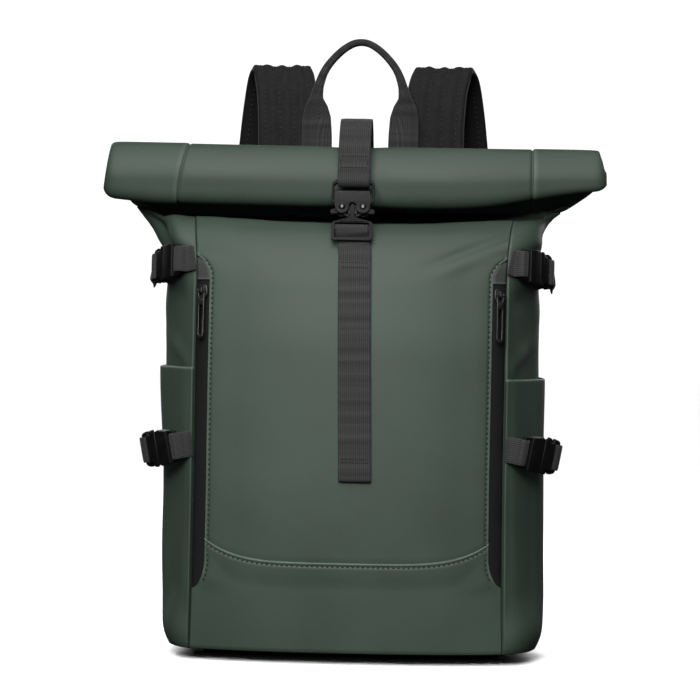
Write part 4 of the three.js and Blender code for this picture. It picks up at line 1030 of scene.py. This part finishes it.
def round_bar(up, radius, start, end, count):
    turns = np.radians(np.linspace(start, end, count + 1))
    return [on_buckle(up + radius * math.sin(t), radius * math.cos(t)) for t in turns]


def on_panel(z, out):
    return on_tube(0.5, z, out)


def tail_drift(z):
    """How far the hanging end of the strap has slid to the right in its buckle."""
    return (2.8 + (320 - z) / 50) * (1 - smooth(316, 338, z))


def cross_row(middle, normal, half, shift=0):
    """Stitches straight across a strap."""
    x = np.linspace(-half, half, 40) + shift
    return stitch_row(middle + x[:, None] * np.array(LEVEL), np.tile(normal, (40, 1)), **BAR_STITCH)


def add_closure_straps():
    side = [(63.1, 296), (63.1, 318), (59, 345), (49, 375), (34, 405), (18, 421), (7, 424.6), (-5, 422)]
    side += [(-17, 413), (-28, 398)]
    over = curve_through([(0, y, z) for y, z in side] + [on_buckle(32.6, 3.5), on_buckle(23.6, 3.5)], 90)
    wrap = round_bar(23.6, 3.5, 0, -180, 14)[1:]
    path = np.concatenate([over, wrap, [on_buckle(31.6, -2.6), on_buckle(37.6, -0.5)]])
    add_webbing("closure_strap_upper", path, LEVEL)
    normal = framed(over, LEVEL)[1]
    facing = -normal if normal[len(over) // 2][2] < 0 else normal
    outer = over + facing * 0.85
    left = lengths_along(over)[-1] - lengths_along(over)
    ends = [np.argmin(np.abs(left - at)) for at in (BOX_TO, BOX_FROM)]
    rows = [cross_row(outer[k], facing[k], BOX_HALF) for k in ends]
    boxed = (left > BOX_FROM) & (left < BOX_TO)
    for x in (-BOX_HALF, BOX_HALF):
        row = resampled(outer[boxed] + np.array([x, 0, 0]), 0.5)
        rows.append(stitch_row(row, np.tile(facing[boxed].mean(0), (len(row), 1)), **BAR_STITCH))
    add_stitching("closure_strap_box_stitch", rows, BLACK_THREAD)

    anchor = [on_panel(303, 1.1), on_panel(312, 1.1), on_panel(320, 1.3)]
    anchor += [on_buckle(-25.4, -5.2), on_buckle(-21.4, -4.3)]
    wrap = round_bar(-17.3, 2.65, 180, 10, 14)
    through = [on_buckle(-20.4, 0.9), on_buckle(-23, -1.7), on_buckle(-25, -2.9), on_buckle(-28, -3)]
    tail = [on_panel(z, 3.2) for z in (314, 300, 280, 255, 230, 205, 182, 164, 146.5, 143.5)]
    hem = [on_panel(142.5, 2.15), on_panel(143.5, 1.1), on_panel(146.5, 1), on_panel(161, 1)]
    path = curve_through(anchor + wrap + through + tail + hem, 260)
    path[:, 0] += tail_drift(path[:, 2])
    add_webbing("closure_strap_lower", path, LEVEL, step=1.2)
    rows = [cross_row(on_panel(z, 4.05), tube_normal(0.5, z), 10.8, tail_drift(z)) for z in (157, 159.5, 305, 308.5)]
    add_stitching("closure_strap_hem_stitch", rows, BLACK_THREAD)


# The closure buckle: local x runs across the strap, y up along it and z out
RIVET_X = 8.1


def add_buckle():
    there = Matrix.Translation([v * MM for v in BUCKLE_AT]) @ Matrix.Rotation(math.pi / 2 - LEAN, 4, "X")
    face = [(12.8, 13.8), (-12.8, 13.8), (-14.2, 5), (-13.6, 0)] + arc(-RIVET_X, 0, 5.4, 180, 352, 14)
    face += [(-2.5, 1.6), (-1.6, 3.2), (0, 4), (1.6, 3.2), (2.5, 1.6)]
    face += arc(RIVET_X, 0, 5.4, 188, 360, 14) + [(14.2, 5)]
    ring = rounded_box(-16.8, 3.6, 16.8, 25.3, 5)
    window = rounded_box(-14.8, 6.2, 14.8, 21.9, 3)
    core = rounded_box(-12.4, 5, 12.4, 13.4, 0.6)
    parts = [plate([face], 2.2, 4, 0.55), plate([face], -4, -2.2, 0.55), plate([ring, window], -1.7, 1.7, 0.9)]
    parts.append(plate([core], -2.6, 2.6, 0.3))
    dome = [(0.5, 3.8), (2.6, 3.8), (2.6, 4.15), (2.35, 4.6), (1.9, 4.98), (1.3, 5.25), (0.7, 5.38), (0.2, 5.4)]
    heads = []
    for x in (-RIVET_X, RIVET_X):
        aside = Matrix.Translation((x * MM, 0, 0))
        parts.append(placed(rod((0, 0, -4.1), (0, 0, 3.9), 1.5, 0.2, 16), aside))
        heads.append(placed(turned(dome), aside))
    add_hard("buckle_housing_casting", joined(parts), there, BUCKLE_COAT, "buckle_housing")
    add_hard("buckle_rivet_heads", joined(heads), there, RIVET_STEEL)

    half, foot, shoulder = 16, -27.6, -8
    right = [(2, 2.2), (3.6, 0.6), (3.6, -4.9), (2.4, -4.9), (2.4, -7.2), (3.6, shoulder - 0.4)]
    right += [(half - 4.5, shoulder - 2.4), (half - 1.2, shoulder - 3.6), (half, shoulder - 5.2)]
    right += arc(half - 2.5, foot + 2.5, 2.5, 0, -90, 5)
    outline = right + [(-x, y) for x, y in right[::-1]]
    window = rounded_box(-half + 3, foot + 2.8, half - 3, shoulder - 4.6, 0.8)
    web = [(1.75, -6.4), (2.1, -7.4), (3.4, -8.9), (9.6, -10.9), (9.6, -11.7)]
    stem = [(-x, y) for x, y in web] + web[::-1] + arc(0, 0.9, 1.75, 0, 180, 12)
    tongue = [plate([outline, window], -1.5, 1.5, 0.55), rod((-13.5, -17.3, 0), (13.5, -17.3, 0), 1.4, 0.1)]
    tongue.append(plate([stem], 1.2, 3.3, 0.5))
    add_hard("buckle_tongue_casting", joined(tongue), there, BUCKLE_COAT, "buckle_tongue")

    from_rivet = [(-3.2, 0), (-4, -5.1), (-5.3, -5.3), (-5.3, -7), (-2.8, -6.6), (1, -4.2), (7.6, -4.7)]
    from_rivet += [(8.8, -4.2), (9.2, -3), (8.9, -1.7), (7.8, -0.9), (3.2, 0)]
    outline = [(RIVET_X + x, y) for x, y in from_rivet] + arc(RIVET_X, 0, 3.2, 10, 170, 12)
    for hand, way in (("right", there), ("left", there @ MIRROR)):
        lever = plate([outline, arc(RIVET_X, 0, 1.9, 0, 345, 15)], -1.5, 1.5, 0.5)
        moving = f"buckle_lever_{hand}"
        add_hard(f"buckle_lever_casting_{hand}", lever, way, BUCKLE_COAT, moving, body=moving)


# Side straps and their buckles
SIDE_STRAPS = (  # name, left and right reach, y, z, turn, slope, roll, height at the rear, and what it lies on
    ("upper", 144.8, 142.9, -28, 308, 55, 9, -5, 302, 0),
    ("lower", 145.8, 147.1, -45.3, 164, 45, 7, 8, 160, 3.1),
)
BAR_X, BAR_TURN = 18.5, 3.6
SEAM_A = 1.013  # where the straps come out of the front corner's seam


def add_side_straps():
    for name, left, right, y, z, turn, slope, roll, rear_z, base in SIDE_STRAPS:
        plan, dip, lean = (math.radians(v) for v in (turn, slope, roll))
        ahead = np.array([math.cos(plan) * math.cos(dip), math.sin(plan) * math.cos(dip), -math.sin(dip)])
        face = np.array([math.sin(plan), -math.cos(plan), 0])
        upright = np.cross(face, ahead)
        up = upright * math.cos(lean) + face * math.sin(lean)
        out = -upright * math.sin(lean) + face * math.cos(lean)
        for hand, reach in (("right", right), ("left", left)):
            add_side_strap(name, hand, np.array([reach, y, z], float), ahead, up, out, rear_z, base)


def add_side_strap(name, hand, origin, ahead, up, out, rear_z, base):
    """A buckle at origin and the webbing from the seam and from the back that is wrapped round its bars."""
    def local(x, y, z):
        return origin + ahead * x + up * y + out * z

    def wrapped(sign):
        turns = np.radians(np.linspace(-90, 110, 18))
        return [local(sign * (BAR_X - BAR_TURN * math.sin(t)), 0, BAR_TURN * math.cos(t)) for t in turns]

    def strip(strap, path, across, step):
        add_webbing(strap, hands(path, hand), hands(across, hand), SIDE_WIDTH, step)

    key, z = f"{name}_{hand}", origin[2]
    add_side_buckle(key, basis(origin, ahead, up, out, hand))
    seam = unit(tube(SEAM_A, z + 5, hand) - tube(SEAM_A, z + 3, hand))
    path = np.array([on_tube(SEAM_A, z + 4, 2.4, hand), local(-BAR_X - BAR_TURN, 0, -4), *wrapped(-1)])
    strip(f"side_strap_{key}_front", path, np.array([seam] + [up] * (len(path) - 1)), 1.0)
    rear = [on_tube(a, rear_z, base + 1.5, hand) for a in (1.93, 1.84, 1.75, 1.66)]
    path = curve_through(rear + [local(BAR_X + BAR_TURN, 0, -3), *wrapped(1)], 120)
    share = np.linspace(0, 1, len(path))[:, None]
    across = unit(mix(np.array([0, 0, 1.0]), up, smooth(0.12, 0.25, share)))
    strip(f"side_strap_{key}_rear", path, across, 1.2)
    if name == "upper":
        points = [(BAR_X + 7.2, -1, 0), (BAR_X + 11, -4, -4.5), (BAR_X + 14, -8.5, -7.5)]
        path = curve_through([local(*p) for p in points], 24)
        strip(f"side_strap_tail_{hand}", path, np.tile(up, (len(path), 1)), 1.2)


def add_side_buckle(key, there):
    """A side-release buckle moulded in two parts. Local x runs back along the strap, y up and z out."""
    half, end, start = 14, 20, 1
    waist = end - 7.6
    body = both_ways([
        (start, half - 1.5), (start + 1.2, half - 0.5), (start + 4, half), (start + 5.2, half - 2.2),
        (start + 6.4, half - 3.2), (start + 8.5, half - 3.5), (start + 10.6, half - 3.2), (waist, half - 2.6)])
    frame_end = both_ways([(waist - 1, half - 3.3), (start + 13.5, half), (end - 1.5, half - 1), (end, half - 2.5)])
    parts = [
        plate([body], 2.05, 4.3, 0.8), plate([body], -4.3, -2.05, 0.8),
        plate([rounded_box(start + 10.8, -half + 3.8, waist, half - 3.8, 0.3)], -2.5, 2.5, 0.2),
        plate([frame_end, rounded_box(end - 6.6, -10.4, end - 3, 10.4, 0.8)], -2, 2, 0.7),
        plate([rounded_box(start + 8, -3, start + 12.2, 3, 0.5)], -3, 3, 0.3)]
    add_hard(f"side_buckle_{key}_socket_moulding", joined(parts), there, ACETAL, f"side_buckle_{key}_socket")

    face, rear = start - 0.3, -end
    body = both_ways([(rear + 7.2, half - 1.4), (face - 3, half), (face - 1, half - 0.5), (face, half - 1.5)])
    frame_end = both_ways([(rear + 8, half - 1.3), (rear + 1.5, half - 2), (rear, half - 3.5)])
    parts = [plate([body], -4.3, 4.3, 0.9)]
    parts.append(plate([frame_end, rounded_box(rear + 3, -10.4, rear + 6.6, 10.4, 0.8)], -2, 2, 0.7))
    arm = [(face - 1, half - 5.6), (face - 1, half - 2.6), (face + 6.2, half - 2.6), (face + 7, half + 0.6)]
    arm += [(face + 9, half + 0.2), (face + 11.2, half - 3.6), (face + 10.4, half - 5.6)]
    parts += [plate([[(x, sign * y) for x, y in arm]], -1.7, 1.7, 0.5) for sign in (-1, 1)]
    add_hard(f"side_buckle_{key}_plug_moulding", joined(parts), there, ACETAL, f"side_buckle_{key}_plug")


# Grab handle: x, z, width in the plane of the arch, and depth
HANDLE = np.array([
    (35, 292, 25, 2), (35, 380, 25, 2), (35.3, 416, 24.5, 2.4), (35.7, 430, 23.2, 3.2), (36, 439, 18.5, 5.5),
    (35.8, 446.5, 10.5, 9), (34, 456, 7.6, 11), (29.8, 467.5, 6.4, 11.5), (23.2, 477, 5.9, 11.5),
    (13.3, 486.3, 5.6, 11.5), (4.5, 490.8, 5.4, 11.5)], float)
HANDLE_Y = 63.3


def add_handle():
    """Webbing that is folded together in the arch, with a groove where its edges meet."""
    rows = np.concatenate([HANDLE, (HANDLE * (-1, 1, 1, 1))[::-1]])
    last = len(rows) - 1
    path = curve_through(np.stack([rows[:, 0], np.full(len(rows), HANDLE_Y), rows[:, 1]], 1), last * 8)
    at = np.linspace(0, last, len(path))
    wide, deep = (np.interp(at, np.arange(len(rows)), rows[:, k])[:, None] for k in (2, 3))
    depth_way = np.broadcast_to([0, 1.0, 0], path.shape)
    width_way = np.cross(unit(np.gradient(path, axis=0)), depth_way)
    turn = full_turn(28)
    across, through = (np.sign(v) * np.abs(v) ** 0.45 for v in (np.cos(turn), np.sin(turn)))
    groove = 1 - 0.35 * (1 + smooth(3, 9, deep)) * hump(np.abs(turn - math.pi / 2), 0, 0.35)
    loops = sections(path, width_way, depth_way, across * wide / 2, through * deep / 2 * groove)
    girth = np.cumsum(np.linalg.norm(np.diff(loops, axis=1, append=loops[:, :1]), axis=2), axis=1)
    add_piece("grab_handle_webbing", loft(loops, weave_places(girth, path)), WEAVE, "grab_handle")


# Shoulder straps
PAD_PATH = [(60, 66.9, 300), (59.5, 70.4, 320), (59.5, 72, 390), (60.5, 76, 435), (63, 84, 459.5), (67, 97, 470.5),
            (71.5, 110, 463.5), (76, 119, 440), (81, 125, 396), (87, 127, 340), (93, 123, 280), (97, 114, 220),
            (99, 104, 172)]
PAD_WIDTH, PAD_THICKNESS = 49, 10
PAD_LINES = (-0.36, -0.12, 0.12, 0.36)  # sewn lines, as shares of the width
PAD_PINCH = 0.66  # share of the thickness that is left at a sewn line


def there_and_back(front, back):
    """Values along a strap's front and, without the two shared edges, back along its other face."""
    return np.concatenate([front, back[::-1][1:-1]])


def add_shoulder_straps():
    path = resampled(curve_through(PAD_PATH, 200), 3)
    wide, normal = framed(path, LEVEL)
    shares = np.array(sorted(set(np.round(np.concatenate([np.linspace(-0.5, 0.5, 29), PAD_LINES]), 4))))
    end = np.minimum(np.linspace(0, 1, len(path)), np.linspace(1, 0, len(path)))
    full = mix(0.35, 1, smooth(0, 0.06, end))
    line = np.min(np.abs(shares[:, None] - np.array(PAD_LINES)), axis=1) * PAD_WIDTH
    edge = (0.5 - np.abs(shares)) * PAD_WIDTH
    half = PAD_THICKNESS / 2 * np.minimum(1, 0.22 + np.sqrt(np.clip(edge / 6, 0, 1)) * 0.78)
    half = half * (PAD_PINCH + (1 - PAD_PINCH) * smooth(0, 6, line))
    w = there_and_back(shares, shares) * PAD_WIDTH
    n = there_and_back(half, -half)
    loops = sections(path, wide, normal, w, n * full[:, None])
    held = (line < 0.3) | (edge < 0.3)
    sewn = np.broadcast_to(there_and_back(held, held), loops.shape[:2]).copy()
    sewn[:4] = sewn[-4:] = True
    # This face of the pads is painted near black: painted shade
    painted_shade_face = np.broadcast_to(n > 0.2, loops.shape[:2]).astype(float).ravel()
    mesh = loft(loops, weave_places(w, path), painted_shade_face)
    thick = PAD_THICKNESS / 2 * PAD_PINCH * full + 0.05
    stitches = []
    for hand in ("right", "left"):
        pad = add_piece(f"shoulder_strap_pad_{hand}", mesh, PAD, f"shoulder_strap_{hand}")
        if hand == "right":
            swell(pad, sewn.ravel(), 5, 0.0025)
            mesh = placed(mesh.copy(), MIRROR)
        for share in PAD_LINES:
            for sign in (-1, 1):
                row = path + wide * share * PAD_WIDTH + normal * (sign * thick)[:, None]
                inner = hands(row, hand)[3:-3], hands(normal * sign, hand)[3:-3]
                stitches.append(stitch_row(*inner, **PAD_STITCH))
    add_stitching("shoulder_strap_stitching", stitches, BLACK_THREAD, "strap_pad")

    foot = [on_tube(2.075, 42, 2.0), on_tube(2.07, 22, 2.0)]
    strap = curve_through([(99, 103.9, 171.6), (100.2, 98.6, 150), (103, 90, 120), (110, 77, 78), *foot], 80)
    ahead = unit(strap[8] - strap[0])
    side = unit(np.array(LEVEL) - ahead * ahead[0])
    ring_outlines = [rounded_box(-15.5, -4, 15.5, 4, 2), rounded_box(-12.9, -1.2, 12.9, 1.2, 0.6)]
    for hand in ("right", "left"):
        add_webbing(f"shoulder_webbing_{hand}", hands(strap, hand), LEVEL, name=f"shoulder_webbing_strip_{hand}")
        there = basis(strap[0] + ahead * 2, side, np.cross(ahead, side), ahead, hand)
        ring = plate(ring_outlines, 0, 9, 1)
        add_hard(f"shoulder_adjuster_moulding_{hand}", ring, there, ACETAL, f"shoulder_adjuster_{hand}")


add_front()
add_zips()
add_sides()
add_roll()
add_back()
add_closure_straps()
add_buckle()
add_side_straps()
add_handle()
add_shoulder_straps()


# Floor, light and camera
SOFTBOXES = (  # name, place, target, width, height, power, spread, and whether the roll is lit by it
    ("high_softbox", (-0.12, -1.0, 1.42), (0, -0.03, 0.42), 0.9, 0.6, 9, 150, "lit"),
    ("front_softbox", (-0.15, -1.5, 0.95), (0, 0, 0), 0.8, 0.6, 2.7, 70, "flagged"),
    ("lower_softbox", (-0.15, -1.5, 0.72), (0, 0, -0.05), 0.8, 0.5, 1.2, 44, "flagged"),
    ("roll_softbox", (-0.12, -1.5, 1.08), (0, -0.02, 0.39), 0.9, 0.36, 6.0, 90, "only"),
    ("top_softbox", (0, -0.2, 1.7), (0, 0, 0.35), 0.9, 0.9, 1.5, 90, "lit"),
    ("back_softbox_-1", (-1.0, 1.9, 0.95), (0, 0.05, 0.25), 0.9, 0.9, 7, 120, "lit"),
    ("back_softbox_1", (1.0, 1.9, 0.95), (0, 0.05, 0.25), 0.9, 0.9, 7, 120, "lit"),
)
FLOOR_RADIUS = 9000
PHOTO_SIDE = 700  # the photo's side in pixels, in which the lens was fitted
FOCAL, SHIFT_X, SHIFT_Y = 2694, -2.87, 3.69
CAMERA_TARGET, CAMERA_DISTANCE = (0, 0, 0.239), 2.1337


def add_floor():
    """Matt white studio paper, with the faint mottle of its fibres. Its own light keeps it white, and it throws
    none of it back on the bag."""
    finish, tree = new_finish("studio_paper", roughness=0.9, ior=1.3)
    surfaced(finish, shades(tree, noise(tree, 0.05, 3.0), (0.3, "#f4f4f4"), (0.7, "#f8f8f8")))
    turn = full_turn(96)
    rim = np.stack([FLOOR_RADIUS * np.cos(turn), FLOOR_RADIUS * np.sin(turn), 0 * turn - 0.2], 1)
    mesh = mesh_of(rim, [tuple(range(len(rim)))])
    mesh.name = "studio_floor"
    mesh.materials.append(finish)
    floor = linked("studio_floor", mesh)
    floor.visible_diffuse = floor.visible_glossy = False
    sky = bpy.data.lights.new("floor_light", "SUN")
    sky.energy, sky.angle = 3.5, math.radians(100)
    light = linked("floor_light", sky)
    light.rotation_euler = (math.radians(-12), math.radians(-14), 0)
    lit = bpy.data.collections.new("floor_only")
    lit.objects.link(floor)
    light.light_linking.receiver_collection = lit


def add_softbox(name, place, target, width, height, power, spread, roll):
    lamp = bpy.data.lights.new(name, "AREA")
    lamp.shape, lamp.size, lamp.size_y, lamp.energy = "RECTANGLE", width, height, power
    lamp.spread = math.radians(spread)
    light = linked(name, lamp)
    light.location = place
    light.rotation_euler = (Vector(target) - Vector(place)).to_track_quat("-Z", "Y").to_euler()
    if roll != "lit":
        flag = bpy.data.collections.new(name + "_flag")
        flag.objects.link(bpy.data.objects["rolled_mouth_cloth"])
        flag.collection_objects[0].light_linking.link_state = "INCLUDE" if roll == "only" else "EXCLUDE"
        light.light_linking.receiver_collection = flag


def add_surroundings():
    """White seen by the camera, with hardly any light of its own, and the softboxes."""
    world = bpy.data.worlds.new("studio")
    bpy.context.scene.world = world
    world.use_nodes = True
    tree = world.node_tree
    sky = tree.nodes["Background"].inputs
    sky["Color"].default_value = (1, 1, 1, 1)
    seen = node(tree, "LightPath", output="Is Camera Ray")
    tree.links.new(ranged(tree, seen, 0.0, 1.0, 0.05, 1.1), sky["Strength"])
    for softbox in SOFTBOXES:
        add_softbox(*softbox)
    bpy.context.scene.view_settings.view_transform = "Standard"


def add_camera():
    turn, lift, roll = (math.radians(v) for v in (2.70, 0.94, 0.95))
    away = Vector((math.sin(turn) * math.cos(lift), -math.cos(turn) * math.cos(lift), math.sin(lift)))
    lens = bpy.data.cameras.new("camera")
    lens.sensor_width, lens.lens = 36, 36 * FOCAL / PHOTO_SIDE
    lens.shift_x, lens.shift_y = SHIFT_X / PHOTO_SIDE, SHIFT_Y / PHOTO_SIDE
    lens.clip_end = 100
    camera = linked("camera", lens)
    camera.location = Vector(CAMERA_TARGET) + away * CAMERA_DISTANCE
    camera.rotation_mode = "QUATERNION"
    camera.rotation_quaternion = (-away).to_track_quat("-Z", "Y") @ Matrix.Rotation(roll, 3, "Z").to_quaternion()
    bpy.context.scene.camera = camera


add_floor()
add_surroundings()
add_camera()
